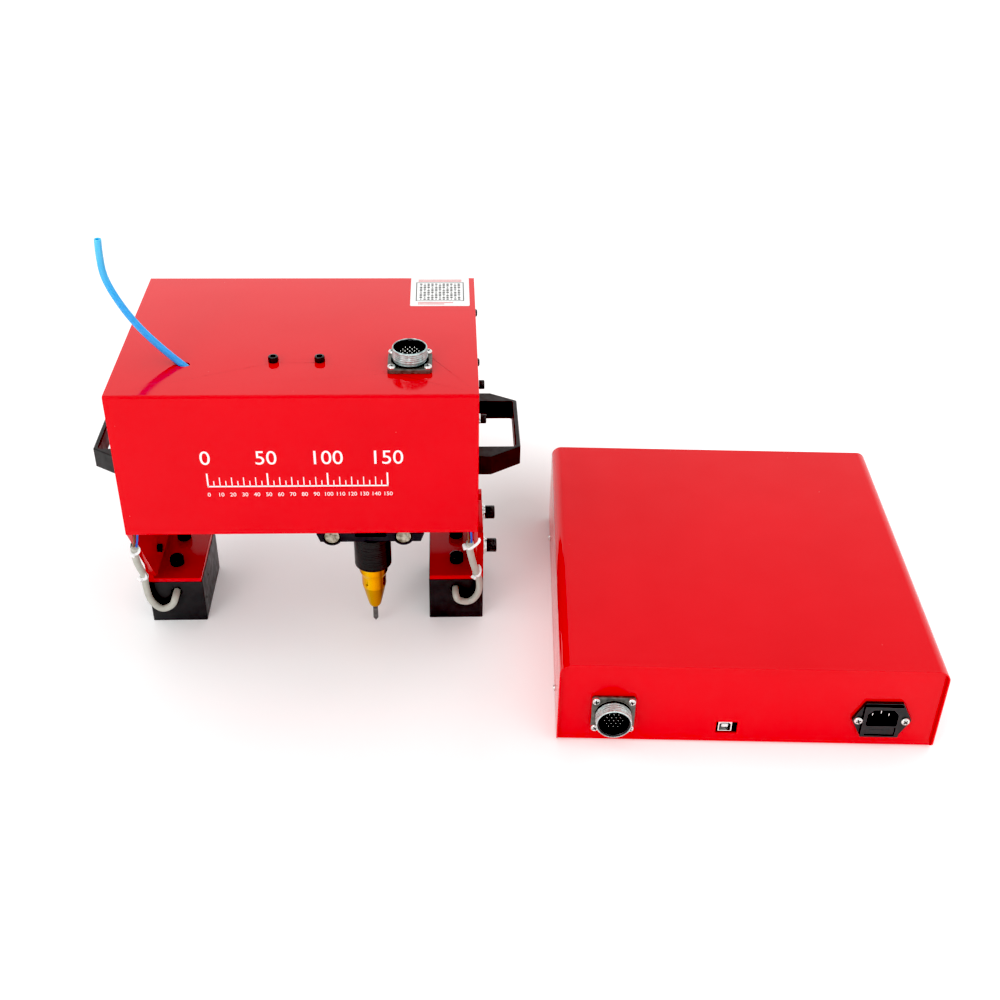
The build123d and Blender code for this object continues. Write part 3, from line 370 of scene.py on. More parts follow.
def boolean(ob_bm, cutter_bm, op="DIFFERENCE"):
    """bmesh of one closed shape cut by another"""
    a, b = bpy.data.meshes.new("a"), bpy.data.meshes.new("b")
    bmesh.ops.recalc_face_normals(ob_bm, faces=ob_bm.faces)
    bmesh.ops.recalc_face_normals(cutter_bm, faces=cutter_bm.faces)
    ob_bm.to_mesh(a)
    cutter_bm.to_mesh(b)
    ob_bm.free()
    cutter_bm.free()
    oa, ob = bpy.data.objects.new("a", a), bpy.data.objects.new("b", b)
    scene.collection.objects.link(oa)
    scene.collection.objects.link(ob)
    mod = oa.modifiers.new("cut", "BOOLEAN")
    mod.operation = op
    mod.solver = "EXACT"
    mod.object = ob
    bpy.context.view_layer.update()
    dg = bpy.context.evaluated_depsgraph_get()
    me = bpy.data.meshes.new_from_object(oa.evaluated_get(dg))
    out = bmesh.new()
    out.from_mesh(me)
    bmesh.ops.remove_doubles(out, verts=out.verts, dist=1e-4)
    bpy.data.objects.remove(oa)
    bpy.data.objects.remove(ob)
    for x in (a, b, me):
        bpy.data.meshes.remove(x)
    return out


# ---------------------------------------------------------------------------
# air tube: stands up out of the top by its own stiffness
# ---------------------------------------------------------------------------
TUBE_PTS = [
    (-38.0, 43.2, 262.0),
    (-68.7, 45.6, 264.7),
    (-109.2, 58.2, 293.3),
    (-134.9, 67.2, 317.8),
    (-152.4, 73.6, 347.6),
    (-155.4, 75.1, 367.0),
    (-153.9, 74.8, 386.4),
]
tube_path = spline_points([H(*p) for p in TUBE_PTS], "tube_route", per=16)
bm = bmesh.new()
outer = sweep(bm, tube_path, circle(0.003, 28), caps=False)
inner = sweep(bm, tube_path, circle(0.0020, 28), caps=False)
for a, b in ((outer[0], inner[0]), (inner[-1], outer[-1])):
    ring_faces(bm, a, b)
me = bpy.data.meshes.new("air_tube_run")
bm.to_mesh(me)
bm.free()
mark(me, 40)
tube = bpy.data.objects.new("air_tube_run", me)
scene.collection.objects.link(tube)
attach(tube, "head")
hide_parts("air_tube")


# ---------------------------------------------------------------------------
# materials
# ---------------------------------------------------------------------------
def start(name):
    m = bpy.data.materials.new(name)
    m.use_nodes = True
    nt = m.node_tree
    nt.nodes.clear()
    out = nt.nodes.new("ShaderNodeOutputMaterial")
    bsdf = nt.nodes.new("ShaderNodeBsdfPrincipled")
    nt.links.new(bsdf.outputs[0], out.inputs[0])
    tc = nt.nodes.new("ShaderNodeTexCoord")
    return m, nt, bsdf, tc.outputs["Object"]


def mapped(nt, coord, scale=(1, 1, 1), loc=(0, 0, 0)):
    mp = nt.nodes.new("ShaderNodeMapping")
    mp.inputs["Scale"].default_value = scale
    mp.inputs["Location"].default_value = loc
    nt.links.new(coord, mp.inputs["Vector"])
    return mp.outputs[0]


def noise(nt, coord, scale, detail=3.0, rough=0.55, distort=0.0):
    n = nt.nodes.new("ShaderNodeTexNoise")
    n.inputs["Scale"].default_value = scale
    n.inputs["Detail"].default_value = detail
    n.inputs["Roughness"].default_value = rough
    n.inputs["Distortion"].default_value = distort
    nt.links.new(coord, n.inputs["Vector"])
    return n.outputs["Fac"]


def ramp(nt, fac, stops):
    r = nt.nodes.new("ShaderNodeValToRGB")
    el = r.color_ramp.elements
    el[0].position, el[0].color = stops[0][0], (*stops[0][1], 1)
    el[1].position, el[1].color = stops[-1][0], (*stops[-1][1], 1)
    for pos, col in stops[1:-1]:
        e = el.new(pos)
        e.color = (*col, 1)
    nt.links.new(fac, r.inputs[0])
    return r.outputs[0]


def span(nt, fac, a, b, lo=0.3, hi=0.7):
    r = nt.nodes.new("ShaderNodeMapRange")
    r.inputs["From Min"].default_value = lo
    r.inputs["From Max"].default_value = hi
    r.inputs["To Min"].default_value = a
    r.inputs["To Max"].default_value = b
    nt.links.new(fac, r.inputs["Value"])
    return r.outputs[0]


def math_node(nt, op, a, b=None, c=None):
    n = nt.nodes.new("ShaderNodeMath")
    n.operation = op
    for i, v in enumerate((a, b, c)):
        if v is None:
            continue
        if isinstance(v, (int, float)):
            n.inputs[i].default_value = v
        else:
            nt.links.new(v, n.inputs[i])
    return n.outputs[0]


def bump(nt, height, strength, dist, normal=None):
    b = nt.nodes.new("ShaderNodeBump")
    b.inputs["Strength"].default_value = strength
    b.inputs["Distance"].default_value = dist
    nt.links.new(height, b.inputs["Height"])
    if normal is not None:
        nt.links.new(normal, b.inputs["Normal"])
    return b.outputs[0]


def surface(name, dark, light, rough, metal=0.0, tone=60.0, grain=900.0, grain_bump=0.15, grain_dist=0.0001,
            stretch=None, spec=0.5, coat=0.0, coat_rough=0.1, detail=3.0, tone_stretch=None, wave=0.0):
    """general finish: colour moves between two tones, roughness follows a second noise, grain gives bump"""
    m, nt, b, co = start(name)
    t = noise(nt, mapped(nt, co, tone_stretch) if tone_stretch else co, tone, detail)
    nt.links.new(ramp(nt, t, [(0.32, dark), (0.68, light)]), b.inputs["Base Color"])
    r = noise(nt, co, tone * 2.7, 4.0)
    nt.links.new(span(nt, r, rough[0], rough[1]), b.inputs["Roughness"])
    g = noise(nt, mapped(nt, co, stretch) if stretch else co, grain, 2.0)
    n = bump(nt, g, grain_bump, grain_dist)
    if wave:
        n = bump(nt, noise(nt, co, 16.0, 1.0), wave, 0.002, n)
    nt.links.new(n, b.inputs["Normal"])
    b.inputs["Metallic"].default_value = metal
    b.inputs["Specular IOR Level"].default_value = spec
    b.inputs["Coat Weight"].default_value = coat
    b.inputs["Coat Roughness"].default_value = coat_rough
    return m


def enamel(name, dark, light, rough, waves=0.05):
    """gloss paint on sheet steel: orange peel, slow waves in the sheet and a few dust specks"""
    m, nt, b, co = start(name)
    t = noise(nt, co, 9.0, 3.0)
    base = ramp(nt, t, [(0.3, dark), (0.7, light)])
    v = nt.nodes.new("ShaderNodeTexVoronoi")
    v.feature = "F1"
    v.inputs["Scale"].default_value = 110.0
    nt.links.new(co, v.inputs["Vector"])
    near = math_node(nt, "LESS_THAN", v.outputs["Distance"], 0.035)
    sep = nt.nodes.new("ShaderNodeSeparateColor")
    nt.links.new(v.outputs["Color"], sep.inputs[0])
    rare = math_node(nt, "GREATER_THAN", sep.outputs[0], 0.93)
    speck = math_node(nt, "MULTIPLY", math_node(nt, "MULTIPLY", near, rare), 0.35)
    mix = nt.nodes.new("ShaderNodeMix")
    mix.data_type = "RGBA"
    nt.links.new(speck, mix.inputs["Factor"])
    nt.links.new(base, mix.inputs["A"])
    mix.inputs["B"].default_value = (0.85, 0.5, 0.48, 1)
    nt.links.new(mix.outputs["Result"], b.inputs["Base Color"])
    r = noise(nt, co, 35.0, 5.0)
    nt.links.new(span(nt, r, rough[0], rough[1]), b.inputs["Roughness"])
    peel = bump(nt, noise(nt, co, 620.0, 1.5), 0.05, 0.0002)
    n = bump(nt, noise(nt, co, 11.0, 1.0), waves, 0.004, peel)
    nt.links.new(n, b.inputs["Normal"])
    return m


def turned(name, dark, light, rough, metal, pitch=4200.0, strength=0.12, tone=40.0, axis=2, spec=0.5):
    """lathe-turned finish with fine rings across an axis"""
    m, nt, b, co = start(name)
    s = [30.0, 30.0, 30.0]
    s[axis] = pitch
    g = noise(nt, mapped(nt, co, tuple(s)), 1.0, 3.0)
    s2 = [8.0, 8.0, 8.0]
    s2[axis] = 400.0
    t = noise(nt, mapped(nt, co, tuple(s2)), 1.0, 4.0)
    nt.links.new(ramp(nt, t, [(0.3, dark), (0.7, light)]), b.inputs["Base Color"])
    nt.links.new(span(nt, g, rough[0], rough[1]), b.inputs["Roughness"])
    nt.links.new(bump(nt, g, strength, 0.00006), b.inputs["Normal"])
    b.inputs["Metallic"].default_value = metal
    b.inputs["Specular IOR Level"].default_value = spec
    return m


RED = enamel("red_enamel", (0.69, 0.0024, 0.0078), (0.73, 0.0032, 0.0096), (0.07, 0.13))
RED_BOX = enamel("red_enamel_box", (0.70, 0.0036, 0.0090), (0.74, 0.0046, 0.0110), (0.11, 0.20), 0.03)
RED_BOX.node_tree.nodes["Principled BSDF"].inputs["Specular IOR Level"].default_value = 0.44
RED_FRAME = enamel("red_enamel_frame", (0.62, 0.0030, 0.0080), (0.68, 0.0040, 0.0100), (0.14, 0.26), 0.02)
MAGNET = surface("magnet_black", (0.019, 0.019, 0.020), (0.029, 0.029, 0.030), (0.34, 0.52), tone=45, grain=1500,
                 grain_bump=0.22, grain_dist=0.00012)
POTTING = surface("coil_potting", (0.020, 0.019, 0.018), (0.036, 0.034, 0.031), (0.35, 0.6), tone=80, grain=500,
                  grain_bump=0.3, grain_dist=0.0003)
HANDLE = surface("handle_moulded", (0.018, 0.018, 0.018), (0.027, 0.027, 0.027), (0.38, 0.55), tone=70, grain=2400,
                 grain_bump=0.35, grain_dist=0.0001)
OXIDE = surface("black_oxide", (0.022, 0.022, 0.023), (0.046, 0.045, 0.044), (0.20, 0.36), metal=0.35, tone=220,
                grain=2600, grain_bump=0.2)
ZINC = surface("bright_zinc", (0.60, 0.60, 0.58), (0.88, 0.88, 0.86), (0.08, 0.24), metal=1.0, tone=350, grain=1800,
               grain_bump=0.10)
STEEL = turned("ground_steel", (0.50, 0.50, 0.50), (0.68, 0.68, 0.67), (0.12, 0.26), 1.0, axis=0)
STEEL_Y = surface("ground_steel_y", (0.15, 0.130, 0.095), (0.56, 0.53, 0.43), (0.16, 0.34), metal=1.0, tone=1.0,
                  tone_stretch=(330, 330, 330), grain=1.0, stretch=(900, 300, 2600), grain_bump=0.5)
SCREW_STEEL = surface("screw_steel", (0.36, 0.35, 0.33), (0.55, 0.54, 0.52), (0.18, 0.34), metal=1.0, tone=150,
                      grain=1400, grain_bump=0.12)
# cast ring: the vertical bright and dark streaks are painted highlights and reflections, and the base is tinted cyan
# to cancel the red reflected from the top
CAST = surface("cast_ring", (0.20, 0.245, 0.24), (0.70, 0.86, 0.85), (0.18, 0.40), metal=0.6, tone=1.0, grain=1.0,
               tone_stretch=(150, 150, 60), stretch=(190, 190, 900), grain_bump=0.8, grain_dist=0.0005, detail=3.0)
CAST_BOX = surface("cast_ring_box", (0.42, 0.47, 0.46), (0.72, 0.86, 0.85), (0.20, 0.38), metal=0.6, tone=160,
                   grain=700, grain_bump=0.4, grain_dist=0.0002, detail=4.0)
FLANGE = surface("grey_flange", (0.105, 0.105, 0.098), (0.215, 0.205, 0.185), (0.30, 0.48), metal=0.5, tone=260,
                 grain=1300, grain_bump=0.35, grain_dist=0.00015, detail=5.0)
INSUL = surface("insulator", (0.014, 0.014, 0.015), (0.022, 0.022, 0.024), (0.22, 0.38), tone=200, grain=1400,
                grain_bump=0.12)
PIN = surface("contact_pin", (0.82, 0.82, 0.80), (0.95, 0.95, 0.93), (0.12, 0.22), metal=1.0, tone=600, grain=3000,
              grain_bump=0.08)
PIN_DULL = surface("contact_pin_dull", (0.34, 0.34, 0.34), (0.62, 0.62, 0.61), (0.16, 0.30), metal=1.0, tone=600,
                   grain=3000, grain_bump=0.08)
BLACK_PLASTIC = surface("black_moulding", (0.017, 0.018, 0.019), (0.026, 0.027, 0.028), (0.28, 0.42), tone=120,
                        grain=2200, grain_bump=0.22)
BARREL = turned("barrel_anodised", (0.018, 0.018, 0.018), (0.027, 0.027, 0.027), (0.24, 0.38), 0.2, strength=0.03)
HOLDER = surface("holder_anodised", (0.018, 0.018, 0.021), (0.028, 0.028, 0.033), (0.28, 0.44), metal=0.3, tone=90,
                 grain=2100, grain_bump=0.2)
GOLD = turned("gold_anodised", (0.84, 0.36, 0.016), (0.97, 0.47, 0.028), (0.16, 0.28), 0.9, strength=0.10)
# painted highlight and shade on the nozzle: across x a bright band left of centre between darker edges, and colour
# times 0.7 low down on the cone, painted shade where it faces the floor
nt = GOLD.node_tree
_b, co = nt.nodes["Principled BSDF"], nt.nodes["Texture Coordinate"].outputs["Object"]
sep = nt.nodes.new("ShaderNodeSeparateXYZ")
nt.links.new(co, sep.inputs[0])
mid_x = (55.3 - OX) / 1000
painted_highlight_band = ramp(nt, span(nt, sep.outputs["X"], 0.0, 1.0, mid_x - 0.0118, mid_x + 0.0118),
                [(0.0, (0.60, 0.23, 0.011)), (0.12, (0.95, 0.46, 0.034)), (0.28, (1.0, 0.60, 0.062)),
                 (0.52, (1.0, 0.44, 0.026)), (0.70, (0.75, 0.28, 0.015)), (0.80, (0.32, 0.095, 0.005)),
                 (0.88, (0.52, 0.18, 0.008)), (1.0, (0.20, 0.06, 0.004))])
down = span(nt, sep.outputs["Z"], 0.70, 1.0, 0.0475, 0.0488)
painted_light_mix = nt.nodes.new("ShaderNodeMix")
painted_light_mix.data_type, painted_light_mix.blend_type = "RGBA", "MULTIPLY"
painted_light_mix.inputs["Factor"].default_value = 1.0
nt.links.new(painted_highlight_band, painted_light_mix.inputs["A"])
nt.links.new(down, painted_light_mix.inputs["B"])
nt.links.new(painted_light_mix.outputs["Result"], _b.inputs["Base Color"])
CARBIDE = turned("pin_carbide", (0.10, 0.10, 0.10), (0.26, 0.26, 0.26), (0.14, 0.28), 1.0, strength=0.08)
ALU = surface("milled_aluminium", (0.48, 0.49, 0.50), (0.62, 0.63, 0.64), (0.28, 0.42), metal=1.0, tone=50,
              grain=1.0, stretch=(40, 2600, 900), grain_bump=0.12)
BRASS = turned("nut_brass", (0.62, 0.42, 0.14), (0.76, 0.54, 0.20), (0.2, 0.34), 1.0)
BRONZE = turned("bush_bronze", (0.45, 0.27, 0.12), (0.58, 0.37, 0.18), (0.28, 0.42), 1.0, axis=0)
NICKEL = surface("nickel", (0.55, 0.53, 0.48), (0.72, 0.70, 0.65), (0.12, 0.28), metal=1.0, tone=200, grain=1500,
                 grain_bump=0.08)
LAMIN = turned("motor_laminations", (0.10, 0.10, 0.105), (0.19, 0.19, 0.20), (0.35, 0.5), 0.8, pitch=9000.0,
               strength=0.5, axis=0)
LAMIN_Y = turned("motor_laminations_y", (0.10, 0.10, 0.105), (0.19, 0.19, 0.20), (0.35, 0.5), 0.8, pitch=9000.0,
                 strength=0.5, axis=1)
MOTOR_END = surface("motor_end", (0.020, 0.020, 0.021), (0.038, 0.038, 0.040), (0.3, 0.45), tone=90, grain=1500,
                    grain_bump=0.3)
RUBBER = surface("rubber", (0.020, 0.020, 0.020), (0.032, 0.032, 0.032), (0.6, 0.8), tone=160, grain=1700,
                 grain_bump=0.4, spec=0.3)
PCB = surface("circuit_green", (0.004, 0.045, 0.016), (0.010, 0.10, 0.035), (0.25, 0.4), tone=300, grain=700,
              grain_bump=0.5, coat=0.3)
TIN = surface("tinned_case", (0.45, 0.46, 0.47), (0.62, 0.63, 0.63), (0.25, 0.45), metal=1.0, tone=30, grain=900,
              grain_bump=0.1)
CABLE = surface("cable_sheath", (0.430, 0.425, 0.375), (0.500, 0.495, 0.440), (0.42, 0.58), tone=120, grain=1600,
                grain_bump=0.25, grain_dist=0.00012)
LEAD_BLUE = surface("lead_blue", (0.02, 0.10, 0.50), (0.04, 0.16, 0.62), (0.3, 0.45), tone=200, grain=1500,
                    grain_bump=0.15)
LEAD_BROWN = surface("lead_brown", (0.16, 0.055, 0.025), (0.24, 0.085, 0.04), (0.3, 0.45), tone=200, grain=1500,
                     grain_bump=0.15)
INK = surface("white_ink", (0.84, 0.84, 0.84), (0.92, 0.92, 0.92), (0.42, 0.6), tone=300, grain=1800, grain_bump=0.2)
INK_BLACK = surface("black_ink", (0.012, 0.012, 0.012), (0.03, 0.03, 0.03), (0.4, 0.55), tone=300, grain=1800,
                    grain_bump=0.2)
INK_RED = surface("red_ink", (0.62, 0.015, 0.02), (0.72, 0.03, 0.035), (0.4, 0.55), tone=300, grain=1800,
                  grain_bump=0.2)
PAPER = surface("label_paper", (0.86, 0.86, 0.85), (0.93, 0.93, 0.92), (0.30, 0.45), tone=60, grain=900,
                grain_bump=0.12, wave=0.03)
BRIGHT_SHELL = surface("plated_shell", (0.74, 0.75, 0.74), (0.90, 0.91, 0.90), (0.12, 0.28), metal=1.0, tone=300,
                       grain=1500, grain_bump=0.1)

# nylon: lets a little light through
NYLON = surface("nylon_white", (0.80, 0.80, 0.80), (0.88, 0.88, 0.89), (0.30, 0.45), tone=180, grain=1500,
                grain_bump=0.15)
_b = NYLON.node_tree.nodes["Principled BSDF"]
_b.inputs["Subsurface Weight"].default_value = 0.35
_b.inputs["Subsurface Radius"].default_value = (1.0, 1.0, 1.0)
_b.inputs["Subsurface Scale"].default_value = 0.0015

# polyurethane tube: clear blue wall; its colour is painted paler towards the top and deeper low down by the red top,
# as painted light
TUBE, nt, b, co = start("tube_blue")
sep = nt.nodes.new("ShaderNodeSeparateXYZ")
nt.links.new(co, sep.inputs[0])
# painted light: the blue grows paler with height
lift = span(nt, math_node(nt, "ADD", sep.outputs["Z"], math_node(nt, "MULTIPLY", noise(nt, co, 60.0, 2.0), 0.012)),
            0.0, 1.0, 0.300, 0.395)
nt.links.new(ramp(nt, lift, [(0.0, (0.060, 0.35, 0.88)), (0.5, (0.06, 0.42, 0.97)), (1.0, (0.12, 0.58, 1.0))]),
             b.inputs["Base Color"])
nt.links.new(span(nt, noise(nt, co, 300.0, 3.0), 0.06, 0.13), b.inputs["Roughness"])
nt.links.new(bump(nt, noise(nt, mapped(nt, co, (1, 1, 0.2)), 900.0, 2.0), 0.05, 0.0001), b.inputs["Normal"])
b.inputs["Subsurface Weight"].default_value = 0.7
b.inputs["Subsurface Radius"].default_value = (0.35, 0.8, 1.0)
b.inputs["Subsurface Scale"].default_value = 0.003
b.inputs["IOR"].default_value = 1.5
tube.data.materials.append(TUBE)


# ---------------------------------------------------------------------------
# carried-over parts: finish and softened edges
# ---------------------------------------------------------------------------
def dress(name, material, width=0.3, segs=2):
    ob = nodes[name]
    if ob.data.materials:
        ob.data.materials[0] = material
    else:
        ob.data.materials.append(material)
    for s in ob.material_slots:
        s.material = material
    if width:
        add_bevel(ob, width, segs, weld=True)


dress("head_cover", RED, 0.25)
for side in ("left", "right"):
    dress("side_plate_" + side, RED_FRAME, 0.2)
    dress("foot_bracket_" + side, RED_FRAME, 0.45)
    dress("magnet_body_" + side, MAGNET, 0.35)
    dress("magnet_coil_" + side, POTTING, 0.4)
    dress("handle_" + side, HANDLE, 0.45)
dress("controller_cover", RED_BOX, 0.3)
dress("controller_tray", RED_BOX, 0.2)
dress("x_rods", STEEL, 0.3)
dress("y_rods", STEEL_Y, 0.3)
dress("x_end_bearing", ALU, 0.4)
dress("x_carriage", ALU, 0.5)
dress("guide_bushes", BRONZE, 0.3)
dress("lead_nuts", BRASS, 0.3)
dress("stylus_holder", HOLDER, 0.6)
dress("y_tie_plate", HOLDER, 0.6)
dress("stylus_barrel", BARREL, 0.3)
dress("stylus_nozzle", GOLD, 0.15)
dress("stylus_pin", CARBIDE, 0.1)
dress("stylus_fitting", NICKEL, 0.2)
dress("valve_fittings", NICKEL, 0.3)
dress("solenoid_valve", TIN, 0.5)
dress("rubber_feet", RUBBER, 0.5)
dress("circuit_board", PCB, 0.2)
dress("power_supply", TIN, 0.5)
dress("switch_housing", BLACK_PLASTIC, 0.35)
dress("switch_rocker", BLACK_PLASTIC, 0.5, 3)


# ---------------------------------------------------------------------------
# fasteners
# ---------------------------------------------------------------------------
def cap_screw(bm, m, head_r, head_h, shank_r, length, socket, count=40):
    """socket cap screw with a knurled head"""
    kn = knurl(head_r, 0.13, count)
    rings = [(0, -length), (shank_r - 0.5, -length), (shank_r, -length + 0.6), (shank_r, 0.0),
             (head_r * 0.97, 0.0), (kn, 0.35), (kn, head_h - 0.75), (head_r * 0.955, head_h - 0.35),
             (head_r * 0.90, head_h - 0.08), (head_r * 0.84, head_h), (hexagon(socket * 1.10), head_h),
             (hexagon(socket), head_h - 0.25), (hexagon(socket), head_h * 0.42), (0, head_h * 0.34)]
    polar(bm, m, rings, n=count * 3)


def button_screw(bm, m, head_r, head_h, shank_r, length, socket):
    rings = [(0, -length), (shank_r, -length + 0.4), (shank_r, 0.0), (head_r, 0.0), (head_r, 0.35),
             (head_r * 0.93, head_h * 0.55), (head_r * 0.78, head_h * 0.85), (head_r * 0.60, head_h),
             (hexagon(socket * 1.06), head_h), (hexagon(socket), head_h - 0.15), (hexagon(socket), head_h * 0.4),
             (0, head_h * 0.3)]
    polar(bm, m, rings, n=48)


def pan_screw(bm, m, head_r, head_h, shank_r, length, turn=0.0):
    """pan head with a cross recess"""
    l = head_r * 1.16
    k = l * math.tan(math.radians(16.0))
    rings = [(0, -length), (shank_r, -length + 0.6), (shank_r, 0.0), (head_r * 0.97, 0.0), (head_r, head_h * 0.22),
             (head_r * 0.985, head_h * 0.45), (head_r * 0.93, head_h * 0.68), (head_r * 0.83, head_h * 0.86),
             (head_r * 0.71, head_h * 0.96), (head_r * 0.62, head_h), (cross(k, l), head_h * 0.99),
             (cross(k * 0.92, l * 0.94), head_h * 0.62), (cross(k * 0.85, l * 0.86), head_h * 0.10),
             (0, head_h * 0.02)]
    mm = m @ Matrix.Rotation(turn, 4, "Z")
    polar(bm, mm, rings, n=96)


def recess(bm, m, head_r, head_h, turn=0.0):
    """painted shade: a dark insert deep in a cross recess, standing in for the shade there"""
    l = head_r * 1.02
    k = l * math.tan(math.radians(15.0))
    polar(bm, m @ Matrix.Rotation(turn, 4, "Z"),
          [(cross(k * 0.9, l * 0.9), head_h * 0.13), (cross(k * 0.9, l * 0.9), head_h * 0.66)], n=96)


ZF = 46.55 + 4.2
for s, side in ((-1, "left"), (1, "right")):
    bm = bmesh.new()
    for y, t in ((87.5, 0.3), (128.5, 0.8)):
        cap_screw(bm, basis((s * 132.7, y, ZF), (0, 0, 1)) @ Matrix.Rotation(t, 4, "Z"), 6.5, 8.0, 4.0, 10.5, 6.0)
    piece("magnet_screw_set_" + side, bm, HM, OXIDE, "foot_" + side, ["magnet_screws_" + side])

bm = bmesh.new()
for s in (-1, 1):
    for y in (76.0, 130.0):
        cap_screw(bm, basis((s * 161.0, y, 77.5), (s, 0, 0)), 6.5, 9.2, 4.0, 19.5, 6.0)
piece("clamp_bolt_set", bm, HM, OXIDE, "head", ["clamp_bolts"])



def spring_washer(bm, m, r0, r1, z0, h, turn):
    """one turn with a split"""
    steps, rings = 46, []
    for i in range(steps + 1):
        t = math.radians(turn + 4 + 352 * i / steps)
        z = z0 + 0.13 * i / steps
        rings.append([bm.verts.new(m @ Vector((r * math.cos(t), r * math.sin(t), zz)))
                      for r, zz in ((r0, z), (r1, z), (r1, z + h), (r0, z + h))])
    for a, b2 in zip(rings, rings[1:]):
        ring_faces(bm, a, b2)
    bm.faces.new(list(reversed(rings[0])))
    bm.faces.new(rings[-1])


bm = bmesh.new()
for s in (-1, 1):
    for y in (76.0, 130.0):
        m = basis((s * 157.7, y, 77.5), (s, 0, 0))
        polar(bm, m, [(4.2, 0), (8.1, 0), (8.3, 0.25), (8.3, 1.35), (8.1, 1.6), (4.2, 1.6)], n=48, closed=True)
        spring_washer(bm, m, 4.3, 6.9, 1.63, 1.5, 30 * s + y)
    for y in (83.0, 144.0):
        m = basis((s * (HW + 0.05), y, 212.0), (s, 0, 0))
        polar(bm, m, [(2.7, 0), (4.8, 0), (5.0, 0.25), (5.0, 1.65), (4.8, 1.9), (2.7, 1.9)], n=40, closed=True)
        spring_washer(bm, m, 2.7, 4.4, 1.97, 1.3, 2 * y)
piece("washer_set", bm, HM, ZINC, "head", ["bolt_washers"], bevel=0.15)

bm = bmesh.new()
for s in (-1, 1):
    for y in (83.0, 144.0):
        cap_screw(bm, basis((s * (HW + 3.5), y, 212.0), (s, 0, 0)), 4.25, 5.0, 2.5, 15.0, 4.0, 32)
    for y in (74.5, 170.0):
        cap_screw(bm, basis((s * (HW - 5), y, 173.7), (-s, 0, 0)), 4.25, 5.0, 2.5, 15.0, 4.0, 32)
for x in (-20.3, 18.4):
    cap_screw(bm, basis((x, 58.5, ZT), (0, 0, 1)) @ Matrix.Rotation(0.2 * x, 4, "Z"), 4.25, 5.0, 2.5, 15.0, 4.0, 32)
piece("cap_screw_set", bm, HM, OXIDE, "head", ["m5_cap_screws"])

bm = bmesh.new()
for s in (-1, 1):
    for y in (90, 185):
        button_screw(bm, basis((s * HW, y, 265), (s, 0, 0)), 3.8, 2.4, 2.0, 8.0, 2.5)
piece("button_screw_set", bm, HM, OXIDE, "head", ["m4_button_screws"])


# ---------------------------------------------------------------------------
# round connectors
# ---------------------------------------------------------------------------
def pin_grid(pitch):
    out = []
    for row, count in ((-2, 3), (-1, 4), (0, 5), (1, 4), (2, 3)):
        for i in range(count):
            out.append(((i - (count - 1) / 2) * pitch, row * pitch * 0.866))
    return out


